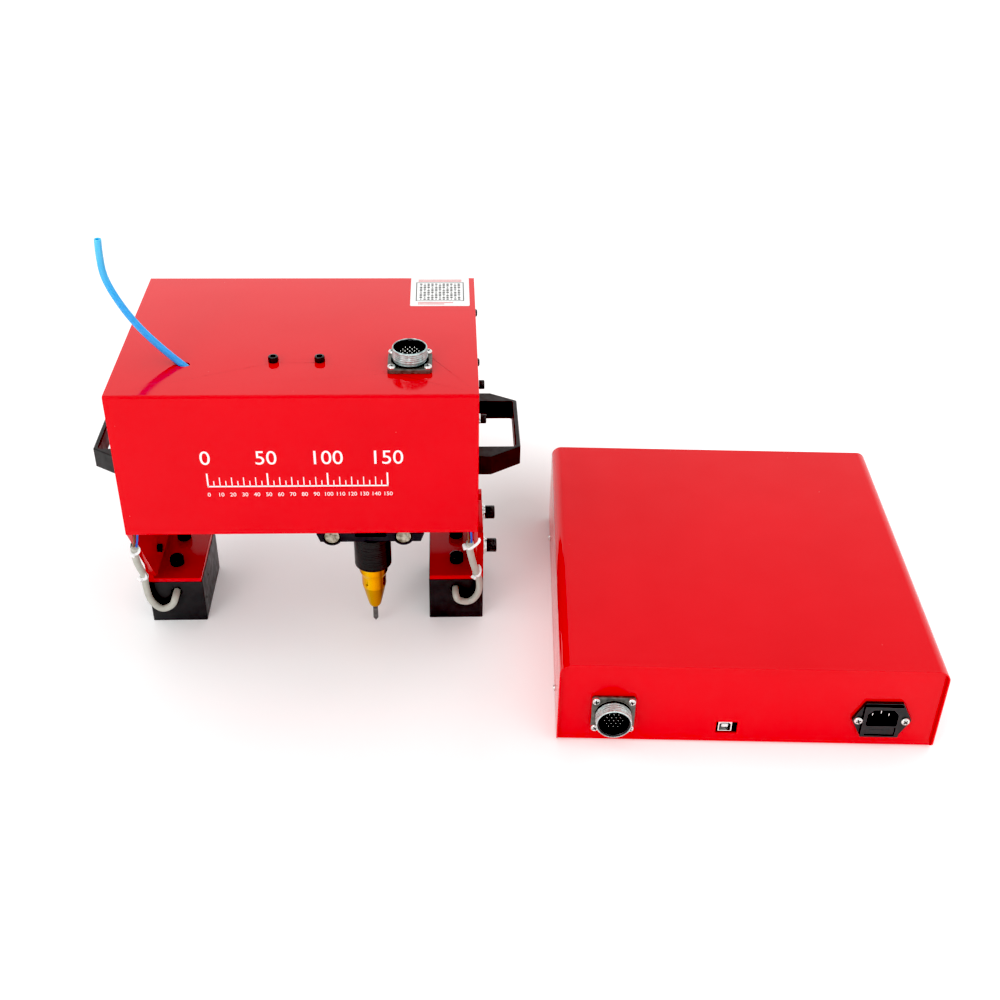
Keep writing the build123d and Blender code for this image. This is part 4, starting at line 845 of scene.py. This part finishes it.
def connector(prefix, m, place, body, top, core_z, pin_z, stands, turns, cast, sy=18.5, th=3.0, lift=1.6, py=15.0,
              ro=15.3):
    """flange, ring with worn crests, insulator, pins and four screws; m has z out of the panel"""
    # flange: cast plate, a low round pad and a hole under the ring
    bm = bmesh.new()
    sq = round_rect(18.5, sy, 2.6)
    polar(bm, m, [(13.4, 0.0), (sq, 0.0), (sq, th - 0.45), (round_rect(18.15, sy - 0.35, 2.4), th - 0.05),
                  (round_rect(17.6, sy - 0.9, 2.2), th), (15.75, th), (15.5, th + 0.3), (13.4, th + 0.3)], n=160,
          closed=True)
    piece(prefix + "_flange", bm, place, FLANGE, body, stands[:1], bevel=0.12, angle=40)
    # ring: neck, three worn crests, step and a rolled lip; a keyway runs down inside and a nick outside
    z = th + lift
    rr = [(13.7, th + 0.1), (14.25, th + 0.2), (14.1, th + 0.7), (14.1, z - 0.6), (13.55, z - 0.3), (13.6, z - 0.05),
          (ro - 0.8, z), (ro - 0.25, z + 0.35), (ro, z + 0.9)]
    z += 0.9
    crest = (top - 3.4 - z) / 3
    for k in range(3):
        rr += [(ro, z + crest * 0.35), (ro - 0.32, z + crest * 0.52), (ro - 0.32, z + crest * 0.66),
               (ro - 0.04, z + crest * 0.86)]
        z += crest
    rr += [(ro, top - 3.1), (ro - 0.35, top - 2.85), (ro - 0.35, top - 2.2), (ro - 0.05, top - 1.8), (ro, top - 1.1),
           (ro - 0.15, top - 0.5), (ro - 0.5, top - 0.12), (ro - 0.85, top), (ro - 1.1, top - 0.1),
           (ro - 1.22, top - 0.4)]

    def nick(r0, zz):
        def r(t):
            d = abs((t - math.radians(268) + math.pi) % (2 * math.pi) - math.pi)
            cut = 0.55 if d < 0.065 and zz > top - 5.2 and r0 > 14.6 else 0.0
            wob = 0.05 * math.sin(5 * t + zz) + 0.035 * math.sin(11 * t - 2 * zz)
            return r0 - cut + (wob if r0 > 14.3 else 0.0)
        return r
    body_rings = [(nick(r0, zz), zz) for r0, zz in rr]

    ri = ro - 1.3
    body_rings += [(ri, top - 1.0), (ri, core_z + 0.2), (13.1, core_z + 0.2), (13.1, 1.0), (13.55, 1.0)]
    bm = bmesh.new()
    polar(bm, m, body_rings, n=180, closed=True)
    piece(prefix + "_ring", bm, place, cast, body, angle=35)
    # black sleeve inside the ring, with a key at the top
    def key(t):
        d = abs((t - math.radians(90) + math.pi) % (2 * math.pi) - math.pi)
        return 12.45 - (1.3 if d < 0.12 else 0.0)
    bm = bmesh.new()
    polar(bm, m, [(ri - 0.04, core_z + 0.25), (ri - 0.04, top - 0.6), (ri - 0.2, top - 0.35), (ri - 0.5, top - 0.5),
                  (key, top - 1.6), (key, core_z + 0.25)], n=150, closed=True)
    piece(prefix + "_sleeve", bm, place, INSUL, body)
    # black ring between flange and ring, painted shade standing in for the shadow under the ring
    bm = bmesh.new()
    rg = ro + (1.1 if lift > 2 else 0.35)
    polar(bm, m, [(14.4, th + 0.32), (rg - 0.2, th + 0.32), (rg, th + 0.6), (rg - 0.2, th + 1.3), (14.4, th + 1.35)],
          n=96, closed=True)
    piece(prefix + "_shade_ring", bm, place, RUBBER, body)
    # insulator with a raised collar round each contact
    bm = bmesh.new()
    polar(bm, m, [(0, core_z - 5.0), (13.0, core_z - 5.0), (13.0, core_z - 0.5), (12.7, core_z - 0.12),
                  (12.3, core_z), (11.3, core_z), (11.1, core_z - 0.25), (0, core_z - 0.25)], n=72)
    for x, y in pin_grid(3.9):
        mm = m @ Matrix.Translation((x, y, 0))
        polar(bm, mm, [(1.25, core_z - 0.4), (1.25, core_z + 0.05), (1.1, core_z + 0.15), (0.8, core_z + 0.15),
                       (0.8, core_z - 0.4)], n=20, cap=False)
    piece(prefix + "_insulator", bm, place, INSUL, body, stands[1:2])
    bm = bmesh.new()
    for x, y in pin_grid(3.9):
        mm = m @ Matrix.Translation((x, y, 0))
        polar(bm, mm, [(0, core_z - 4), (0.72, core_z - 4), (0.72, pin_z - 1.0), (0.60, pin_z - 0.45),
                       (0.40, pin_z - 0.12), (0.20, pin_z - 0.01), (0, pin_z)], n=20)
    # rear solder ends
    for x, y in pin_grid(3.9):
        mm = m @ Matrix.Translation((x, y, 0))
        polar(bm, mm, [(0, -12), (0.7, -12), (0.7, -0.6), (0, -0.6)], n=12)
    piece(prefix + "_contacts", bm, place, PIN if lift > 2 else PIN_DULL, body, stands[2:3])
    if turns is not None:
        bm, marks = bmesh.new(), bmesh.new()
        k = 0
        for i in (-1, 1):
            for j in (-1, 1):
                pan_screw(bm, m @ Matrix.Translation((15 * i, py * j, th)), 3.6, 2.4, 2.0, 8.0, turns[k])
                recess(marks, m @ Matrix.Translation((15 * i, py * j, th)), 3.6, 2.4, turns[k])
                k += 1
        # painted shade inside the screws' cross recesses
        piece(prefix + "_recess_shade", marks, place, OXIDE, body)
        return bm
    return None


m_head = basis((94.2, 52.4, ZT), (0, 0, 1), (1, 0, 0))
bm = connector("head_connector", m_head, HM, "head", 17.0, 9.0, 13.0,
               ["head_connector_shell", "head_connector_core", "head_connector_pins"], (0.3, 0.9, 0.1, 0.55), CAST,
               16.75, 4.0, 3.0, 13.2, 14.8)
piece("head_connector_screw_set", bm, HM, ZINC, "head", ["head_connector_screws"])

m_box = basis((47.2, REC, 34.4), (0, -1, 0), (1, 0, 0))
bm = connector("controller_connector", m_box, KM, "controller", 16.0, 7.5, 11.0,
               ["controller_connector_shell", "controller_connector_core", "controller_connector_pins"],
               (0.5, 0.2, 0.75, 0.35), CAST_BOX)
IN_X, IN_Z = 275.5, 33.1
m_in = basis((IN_X, REC, IN_Z), (0, -1, 0), (1, 0, 0))
marks = bmesh.new()
for i, t in ((-1, 0.35), (1, 0.8)):
    recess(marks, m_in @ Matrix.Translation((20 * i, 0, 2.6)), 3.9, 2.4, t)
    pan_screw(bm, m_in @ Matrix.Translation((20 * i, 0, 2.6)), 3.9, 2.4, 2.0, 8.0, t)
for y in (59.0, 285.0):
    pan_screw(bm, basis((0, y, 9.8), (-1, 0, 0)), 3.0, 1.8, 1.5, 6.0, 0.4)
    pan_screw(bm, basis((CW, y, 9.8), (1, 0, 0)), 3.0, 1.8, 1.5, 6.0, 0.7)
piece("controller_screw_set", bm, KM, ZINC, "controller", ["controller_screws"])
# painted shade inside the inlet screws' cross recesses
piece("inlet_recess_shade", marks, KM, OXIDE, "controller")

# ---------------------------------------------------------------------------
# mains inlet: hexagonal flange, raised frame round the plug recess, fuse drawer
# ---------------------------------------------------------------------------
bm = bmesh.new()
hexa = rounded([(-25.4, 0), (-15.6, -18.8), (15.6, -18.8), (25.4, 0), (15.6, 19.4), (-16.0, 19.4)],
               [2.2, 1.2, 1.2, 2.2, 1.2, 1.2], 5)
prism(bm, m_in, hexa, 0.0, 2.6)
bmesh.ops.recalc_face_normals(bm, faces=bm.faces)
add = bmesh.new()
prism(add, m_in, rounded(rect(33.0, 34.6, 0, -0.9), 1.0, 4), -21.9, 4.1)
bm = boolean(bm, add, "UNION")
cut = bmesh.new()
prism(cut, m_in, rounded([(-12.8, -5.0), (12.8, -5.0), (12.8, 7.2), (8.2, 12.4), (-8.2, 12.4), (-12.8, 7.2)],
                         [0.8, 0.8, 1.2, 1.2, 1.2, 1.2], 4), -15.0, 6.0)
bm = boolean(bm, cut)
cut = bmesh.new()
prism(cut, m_in, rect(25.4, 9.3, 0, -11.6), -19.0, 6.0)
bm = boolean(bm, cut)
piece("inlet_body", bm, KM, BLACK_PLASTIC, "controller", ["power_inlet"], bevel=0.35, segs=2)

bm = bmesh.new()
for x, y in ((-7, 2.2), (7, 2.2), (0, 5.2)):
    # blades with their tips thinned at the end
    for (w0, h0, z0), (w1, h1, z1) in (((2.0, 4.0, -24.0), (2.0, 4.0, -3.6)), ((2.0, 4.0, -3.6), (0.9, 3.2, -2.0))):
        lo = [bm.verts.new(m_in @ Vector((px, py, z0))) for px, py in rect(w0, h0, x, y)]
        hi = [bm.verts.new(m_in @ Vector((px, py, z1))) for px, py in rect(w1, h1, x, y)]
        ring_faces(bm, lo, hi)
        bm.faces.new(list(reversed(lo)))
        bm.faces.new(hi)
bmesh.ops.remove_doubles(bm, verts=bm.verts, dist=1e-4)
piece("inlet_blades", bm, KM, PIN, "controller", ["inlet_pins"], bevel=0.12)

bm = bmesh.new()
prism(bm, m_in, rounded(rect(24.9, 8.9, 0, -11.6), 0.4, 3), -14.6, 3.5)
add = bmesh.new()
prism(add, m_in, rounded(rect(19.0, 4.2, 0.0, -12.2), 0.4, 3), 3.3, 3.65)
bm = boolean(bm, add, "UNION")
piece("fuse_carrier", bm, KM, BLACK_PLASTIC, "fuse_drawer", ["fuse_drawer"], bevel=0.22)

# ---------------------------------------------------------------------------
# square data socket
# ---------------------------------------------------------------------------
lo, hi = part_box("usb_socket")
mid = KM.inverted() @ ((lo + hi) / 2)
USB_X, USB_Z = mid.x, mid.z
m_usb = basis((USB_X, REC + 0.6, USB_Z), (0, -1, 0), (1, 0, 0))
bm = bmesh.new()
prism(bm, m_usb, rounded(rect(12.0, 10.4), 0.5, 3), -16.0, 0.0)
cut = bmesh.new()
prism(cut, m_usb, rounded([(-4.8, -4.4), (4.8, -4.4), (4.8, 2.5), (3.0, 4.3), (-3.0, 4.3), (-4.8, 2.5)], 0.3, 2),
      -14.5, 2.0)
bm = boolean(bm, cut)
piece("data_socket_shell", bm, KM, BRIGHT_SHELL, "controller", ["usb_socket"], bevel=0.2)
bm = bmesh.new()
prism(bm, m_usb, rounded(rect(5.6, 3.2), 0.3, 2), -14.4, -1.2)
piece("data_socket_tongue", bm, KM, NYLON, "controller", bevel=0.15)

# ---------------------------------------------------------------------------
# magnet cables: sheath, two leads and nylon ties on each side
# ---------------------------------------------------------------------------
ROUTES = {
    "left": [(-131.5, 69, 34.9), (-131.5, 55.0, 34.7), (-135.4, 57.0, 24.0), (-147.0, 59.3, 16.5),
             (-156.6, 59.5, 28.0), (-157.8, 57.0, 47.0), (-154.8, 49.0, 66.0), (-154.4, 35.5, 85.5),
             (-152.0, 21.5, 104.0), (-149.0, 8.3, 123.0), (-146.0, 4.0, 132.0)],
    "right": [(131.5, 69, 34.9), (131.2, 54.8, 34.2), (134.4, 57.0, 25.8), (145.8, 59.5, 22.2),
              (153.8, 59.0, 34.0), (154.0, 55.0, 51.5), (151.7, 45.8, 66.0), (148.5, 33.0, 84.5),
              (145.5, 19.0, 106.0), (143.5, 7.8, 125.0), (144.0, 4.0, 133.5)],
}
LEADS = {
    "left": [[(-144.2, 3.6, 147), (-143.6, 4.8, 159), (-142, 8, 171)],
             [(-141.9, 3.8, 147), (-141, 6, 159), (-138.6, 9.6, 171)]],
    "right": [[(142.1, 3.8, 148), (141, 6, 159), (138.6, 9.6, 170)],
              [(144.4, 3.6, 148), (143.6, 4.6, 159), (142, 8, 170)]],
}


def along(points, share):
    """place and direction at a share of a path's length"""
    total = sum((b - a).length for a, b in zip(points, points[1:]))
    left = total * share
    for a, b in zip(points, points[1:]):
        d = (b - a).length
        if left <= d:
            return a + (b - a) * (left / d), (b - a).normalized()
        left -= d
    return points[-1], (points[-1] - points[-2]).normalized()


def tie(bm, at, direction, lock, tail):
    """strap round the cable, a lock box at an offset from its middle and a cut tail out of the box"""
    lock = Vector(lock)
    m = basis(at, direction, lock)
    r0, r1, w = 3.24, 4.0, 1.25
    polar(bm, m, [(r0, -w + 0.15), (r0 + 0.15, -w), (r1 - 0.2, -w), (r1, -w + 0.25), (r1, w - 0.25), (r1 - 0.2, w),
                  (r0 + 0.15, w), (r0, w - 0.15)], n=40, closed=True)
    away = m.to_3x3().inverted() @ lock
    prism(bm, m @ Matrix.Rotation(math.radians(90), 4, "X"),
          rounded([(3.4, -2.0), (6.2, -1.7), (6.2, 1.7), (3.4, 2.0)], 0.5, 3), -2.3, 2.3)
    # tail: flat strip that leaves the box and springs away
    box = m @ Vector((away.x * 0.95, 0.0, 0.0))
    run = spline_points([box] + [at + Vector(p) for p in tail], "tail_route", per=8)
    n = len(run)
    taper = [1.0 if i < n - 3 else 0.72 for i in range(n)]
    sweep(bm, run, [(-0.40, -1.15), (0.40, -1.15), (0.40, 1.15), (-0.40, 1.15)], up=(0, -1, 0.2), scales=taper)


# share of the cable, offset of the lock box, offsets of the tail's points
TIES = {
    "left": [(0.515, (-3.2, -3, -1), [(0, -4.6, 0), (3.0, -4.6, 1.5), (3.2, -5.8, 6), (2.4, -7.2, 9.5), (1.0, -8.2, 12.5)]),
             (0.955, (-1.2, -4.2, -1.6), [(2.6, -4.3, -0.8), (4.8, -3.4, 1.2), (5.0, -3.0, 4.2), (4.2, -2.8, 6.2)])],
    "right": [(0.520, (-2.5, -3.5, -0.5), [(0.5, -4.6, 0.2), (3, -4, 3), (3.2, -3.6, 8.5), (1.6, -3.4, 12.5)]),
              (0.964, (-4.4, -1.6, 0.8), [(1, -4.6, 0.7), (6, -3.8, 4), (8.9, -3.5, 8.2), (8, -3.5, 10.7)])],
}
for side in ("left", "right"):
    foot = "foot_" + side
    run = spline_points([Vector(p) for p in ROUTES[side]], "cable_route", per=12)
    bm = bmesh.new()
    rings = sweep(bm, run, circle(3.2, 24))
    # ragged end: the sheath was pulled back off its leads
    for i, v in enumerate(rings[-1]):
        v.co += (run[-1] - run[-2]).normalized() * (0.5 * math.sin(i * 2.1) + 0.3 * math.sin(i * 4.7))
    piece("cable_run_" + side, bm, HM, CABLE, foot, ["magnet_cable_" + side])
    end, d = run[-1], (run[-1] - run[-3]).normalized()
    across = (Vector((1, 0, 0)) - d * d.x).normalized()
    for k, (rest, mat) in enumerate(zip(LEADS[side], (LEAD_BROWN, LEAD_BLUE))):
        s = (-1, 1)[k]
        p0 = end - d * 3 + across * (1.2 * s)
        pts = [p0, p0 + d * 9] + [Vector(p) for p in rest]
        bm = bmesh.new()
        sweep(bm, spline_points(pts, "lead_route", per=8), circle(0.9, 14))
        piece("lead_%s_%s" % (("brown", "blue")[k], side), bm, HM, mat, foot)
    bm = bmesh.new()
    for share, lock, tail in TIES[side]:
        at, d = along(run, share)
        tie(bm, at, d, lock, tail)
    piece("tie_set_" + side, bm, HM, NYLON, foot, ["cable_ties_" + side], bevel=0.12)


# ---------------------------------------------------------------------------
# lead screws with their threads, and the two stepper motors
# ---------------------------------------------------------------------------
def threaded(bm, m, r, z0, z1, lead=8.0, starts=4, depth=0.75, n=24, step=0.5):
    rows = int(round((z1 - z0) / step))
    rings = []
    for i in range(rows + 1):
        z = z0 + (z1 - z0) * i / rows
        loop = []
        for k in range(n):
            t = 2 * math.pi * k / n
            f = (z / lead * starts - t / (2 * math.pi) * starts) % 1.0
            p = min(max((abs(f - 0.5) * 2 - 0.25) / 0.5, 0), 1)
            rr = r - depth * p
            if i in (0, rows):
                rr = r - depth
            loop.append(bm.verts.new(m @ Vector((rr * math.cos(t), rr * math.sin(t), z))))
        rings.append(loop)
    for a, b2 in zip(rings, rings[1:]):
        ring_faces(bm, a, b2)
    bm.faces.new(list(reversed(rings[0])))
    bm.faces.new(rings[-1])


bm = bmesh.new()
threaded(bm, basis((-(HW - 5) + 6, 113.5, 212.0), (1, 0, 0)), 4.0, 0, 2 * (HW - 5) - 7.5)
piece("x_screw_thread", bm, HM, SCREW_STEEL, "x_screw", ["x_lead_screw"], angle=50)
# return spring: a coil whose foot sits on the nozzle's seat
bm = bmesh.new()
turns = 24.4 / 3.6
sweep(bm, [H(55.3 + 4.1 * math.cos(t), STY_Y + 4.1 * math.sin(t), 61.0 + 3.6 * t / (2 * math.pi))
           for t in (2 * math.pi * i / 28 for i in range(int(28 * turns) + 1))], circle(0.00055, 10))
me = bpy.data.meshes.new("return_spring_coil")
bm.to_mesh(me)
bm.free()
mark(me, 60)
me.materials.append(SCREW_STEEL)
coil = bpy.data.objects.new("return_spring_coil", me)
scene.collection.objects.link(coil)
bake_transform(coil)
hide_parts("return_spring")

bm = bmesh.new()
threaded(bm, basis((CX, 60, 166.0), (0, 1, 0)), 4.0, 0, 121)
piece("y_screw_thread", bm, HM, SCREW_STEEL, "y_screw", ["y_lead_screw"], angle=50)


def stepper(prefix, m, place, body, stands, lam):
    """square motor: two end caps, laminated stack between, corner screws and a plug socket"""
    sq = cut_square(21.15, 4.0)
    bm = bmesh.new()
    polar(bm, m, [(11.0, 0.0), (sq, 0.0), (sq, 8.6), (11.0, 8.6)], n=96, closed=True)
    polar(bm, m, [(4.3, 8.0), (11.0, 8.0), (11.0, -0.0), (10.6, 0.0), (4.3, 0.0)], n=96, closed=True)
    polar(bm, m, [(11.0, 25.4), (sq, 25.4), (sq, 34.0), (11.0, 34.0)], n=96, closed=True)
    polar(bm, m, [(4.3, 25.4), (11.0, 25.4), (11.0, 33.4), (4.3, 33.4)], n=96, closed=True)
    piece(prefix + "_ends", bm, place, MOTOR_END, body, stands, bevel=0.35)
    bm = bmesh.new()
    polar(bm, m, [(6.0, 8.6), (cut_square(20.9, 5.2), 8.6), (cut_square(20.9, 5.2), 25.4), (6.0, 25.4)], n=96,
          closed=True)
    piece(prefix + "_stack", bm, place, lam, body)
    bm = bmesh.new()
    for i in (-1, 1):
        for j in (-1, 1):
            polar(bm, m @ Matrix.Translation((15.5 * i, 15.5 * j, 33.4)),
                  [(0, 0), (2.4, 0), (2.4, 0.9), (2.0, 1.3), (cross(0.5, 2.6), 1.3), (cross(0.4, 2.2), 0.7), (0, 0.6)],
                  n=48)
    piece(prefix + "_screws", bm, place, ZINC, body)
    bm = bmesh.new()
    prism(bm, m @ Matrix.Rotation(math.radians(90), 4, "X"), rounded(rect(15.0, 6.2, 0, 29.6), 0.5, 2), 20.6, 24.2)
    cut = bmesh.new()
    prism(cut, m @ Matrix.Rotation(math.radians(90), 4, "X"), rect(13.2, 4.4, 0, 29.6), 21.6, 26.0)
    bm = boolean(bm, cut)
    return bm


m_xm = basis((-(HW - 5) + 0.05, 113.5, 212.0), (1, 0, 0), (0, 1, 0))
bm = stepper("x_motor", m_xm, HM, "head", ["x_motor"], LAMIN)
piece("x_motor_socket", bm, HM, NYLON, "head", bevel=0.2)
m_ym = basis((CX, 54.05, 166.0), (0, 1, 0), (1, 0, 0))
bm = stepper("y_motor", m_ym, HM, "stylus_slide", ["y_motor"], LAMIN_Y)
piece("y_motor_socket", bm, HM, NYLON, "stylus_slide", bevel=0.2)

# ---------------------------------------------------------------------------
# label on the top: plain white sheet, dot grid in a frame and two red rules
# ---------------------------------------------------------------------------
bm = bmesh.new()
m_lab = basis((119.0, 190.5, ZT), (0, 0, 1), (1, 0, 0))
prism(bm, m_lab, rounded(rect(54.0, 59.0), 1.6, 5), 0.02, 0.22)
piece("top_label", bm, HM, PAPER, "head", bevel=0.06)
bm = bmesh.new()
for i in range(11):
    for j in range(10):
        x, y = -17.5 + 3.5 * i, -15.75 + 3.5 * j
        r = 1.25 if (i * 3 + j * 5) % 4 else 0.8
        polar(bm, m_lab @ Matrix.Translation((x, y, 0)), [(r, 0.2), (r, 0.25)], n=14)
for w, h, cx, cy in ((44.0, 0.8, 0, 19.0), (44.0, 0.8, 0, -19.0), (0.8, 38.8, -21.6, 0), (0.8, 38.8, 21.6, 0)):
    prism(bm, m_lab, rect(w, h, cx, cy), 0.2, 0.25)
piece("label_dot_print", bm, HM, INK_BLACK, "head")
bm = bmesh.new()
for w, cx, cy in ((40.0, 0, 24.6), (40.0, 0, 22.0), (32.0, -4.0, -23.0), (24.0, -8.0, -25.6)):
    prism(bm, m_lab, rect(w, 1.2, cx, cy), 0.2, 0.25)
piece("label_rules", bm, HM, INK_RED, "head")

# ---------------------------------------------------------------------------
# front print: a plain scale over the stylus's travel, in millimetres
# ---------------------------------------------------------------------------
X0, X1 = -75.5, 74.5
m_front = basis((0, 0, 0), (0, -1, 0), (1, 0, 0))
bm = bmesh.new()
prism(bm, m_front, rect(X1 - X0 + 0.9, 1.3, (X0 + X1) / 2, 197.0), 0.0, 0.05)
for k in range(31):
    x = X0 + 5 * k
    h = 13.0 if k % 10 == 0 else (9.0 if k % 2 == 0 else 5.5)
    w = 1.3 if k % 10 == 0 else 0.8
    prism(bm, m_front, rect(w, h, x, 197.0 + h / 2), 0.0, 0.05)
piece("front_scale", bm, HM, INK, "head")


def numerals(name, items):
    """plain numbers printed on the front, as one flat mesh"""
    bm = bmesh.new()
    for text, x, z, size in items:
        cu = bpy.data.curves.new(name, "FONT")
        cu.body = text
        cu.size = size
        cu.align_x = "CENTER"
        cu.align_y = "CENTER"
        cu.extrude = 0.025
        cu.resolution_u = 5
        ob = bpy.data.objects.new(name, cu)
        scene.collection.objects.link(ob)
        bpy.context.view_layer.update()
        dg = bpy.context.evaluated_depsgraph_get()
        me = bpy.data.meshes.new_from_object(ob.evaluated_get(dg))
        me.transform(m_front @ Matrix.Translation((x, z, 0.025)))
        bm.from_mesh(me)
        bpy.data.objects.remove(ob)
        bpy.data.meshes.remove(me)
    piece(name, bm, HM, INK, "head")


numerals("front_numbers", [(str(v), X0 + v, 224.5, 19.0) for v in (0, 50, 100, 150)]
         + [(str(v), X0 + v, 188.6, 5.4) for v in range(0, 151, 10)])

# rocker marks: a bar and a ring, in white
YP = CD - REC - 3.0
bm = bmesh.new()
prism(bm, basis((48.0, YP + 3.9, 34.0 - 3.7), (0, 0.9967, 0.081), (-1, 0, 0)), rect(0.8, 3.4), 0.0, 0.06)
polar(bm, basis((48.0, YP + 5.3, 34.0 + 3.2), (0, 0.883, -0.469), (-1, 0, 0)),
      [(1.15, 0.0), (1.75, 0.0), (1.75, 0.06), (1.15, 0.06)], n=32, closed=True)
piece("rocker_marks", bm, KM, INK, "rocker")

# ---------------------------------------------------------------------------
# floor, light and world
# ---------------------------------------------------------------------------
bm = bmesh.new()
bmesh.ops.create_grid(bm, x_segments=2, y_segments=2, size=9.0)
me = bpy.data.meshes.new("floor")
bm.to_mesh(me)
bm.free()
floor = bpy.data.objects.new("floor", me)
scene.collection.objects.link(floor)
FLOOR, nt, b, co = start("floor_white")
# greyer between the two units, standing in for the soft shadow there, and glowing brighter towards the box as painted
# light
spot = nt.nodes.new("ShaderNodeVectorMath")
spot.operation = "DISTANCE"
spot.inputs[1].default_value = (0.02, 0.19, 0.0)
nt.links.new(co, spot.inputs[0])
away = span(nt, spot.outputs["Value"], 0.0, 1.0, 0.02, 0.19)
sheet = ramp(nt, noise(nt, co, 7.0, 3.0), [(0.3, (0.90, 0.90, 0.90)), (0.7, (0.93, 0.93, 0.93))])
grey = nt.nodes.new("ShaderNodeMix")
grey.data_type = "RGBA"
grey.inputs["A"].default_value = (0.70, 0.68, 0.67, 1)
nt.links.new(away, grey.inputs["Factor"])
nt.links.new(sheet, grey.inputs["B"])
nt.links.new(grey.outputs["Result"], b.inputs["Base Color"])
sep = nt.nodes.new("ShaderNodeSeparateXYZ")
nt.links.new(co, sep.inputs[0])
# painted light: the floor glows more towards the box and less in the shadow spot
lit = span(nt, sep.outputs["X"], 0.13, 0.27, -0.03, 0.07)
nt.links.new(math_node(nt, "MULTIPLY", lit, away), b.inputs["Emission Strength"])
nt.links.new(span(nt, noise(nt, co, 40.0, 3.0), 0.5, 0.62), b.inputs["Roughness"])
b.inputs["Specular IOR Level"].default_value = 0.2
b.inputs["Emission Color"].default_value = (1, 1, 1, 1)
floor.data.materials.append(FLOOR)


def area(name, loc, target, size, power, size_y=None):
    li = bpy.data.lights.new(name, "AREA")
    li.shape = "RECTANGLE"
    li.size, li.size_y = size, size_y or size
    li.energy = power
    ob = bpy.data.objects.new(name, li)
    ob.location = loc
    ob.rotation_mode = "QUATERNION"
    ob.rotation_quaternion = (Vector(target) - Vector(loc)).to_track_quat("-Z", "Y")
    scene.collection.objects.link(ob)
    return ob


area("key", (-1.5, -2.0, 1.45), (0.0, 0.0, 0.1), 1.0, 12.0)
area("fill", (1.7, -1.7, 1.5), (0.1, -0.1, 0.1), 1.2, 2.0)

world = bpy.data.worlds.new("studio")
scene.world = world
world.use_nodes = True
wn = world.node_tree
wn.nodes.clear()
wo = wn.nodes.new("ShaderNodeOutputWorld")
bg = wn.nodes.new("ShaderNodeBackground")
bg.inputs["Color"].default_value = (1, 1, 1, 1)
# white surroundings, a little brighter low down on the far side
wc = wn.nodes.new("ShaderNodeTexCoord")
wx = wn.nodes.new("ShaderNodeSeparateXYZ")
wn.links.new(wc.outputs["Generated"], wx.inputs[0])
low = span(wn, wx.outputs["Z"], 1.0, 0.0, 0.40, 0.52)
far = span(wn, wx.outputs["Y"], 0.0, 1.0, 0.30, 0.75)
glow = math_node(wn, "MULTIPLY", math_node(wn, "MULTIPLY", low, far), 0.38)
high = span(wn, wx.outputs["Z"], 1.02, 1.12, 0.55, 0.90)
wn.links.new(math_node(wn, "ADD", glow, high), bg.inputs["Strength"])
wn.links.new(bg.outputs[0], wo.inputs[0])

vs = scene.view_settings
vs.view_transform = "Standard"
vs.look = "None"
vs.exposure = 0.0
vs.gamma = 1.0
vs.use_curve_mapping = True
vs.curve_mapping.black_level = (0.046, 0.046, 0.046)
vs.curve_mapping.update()
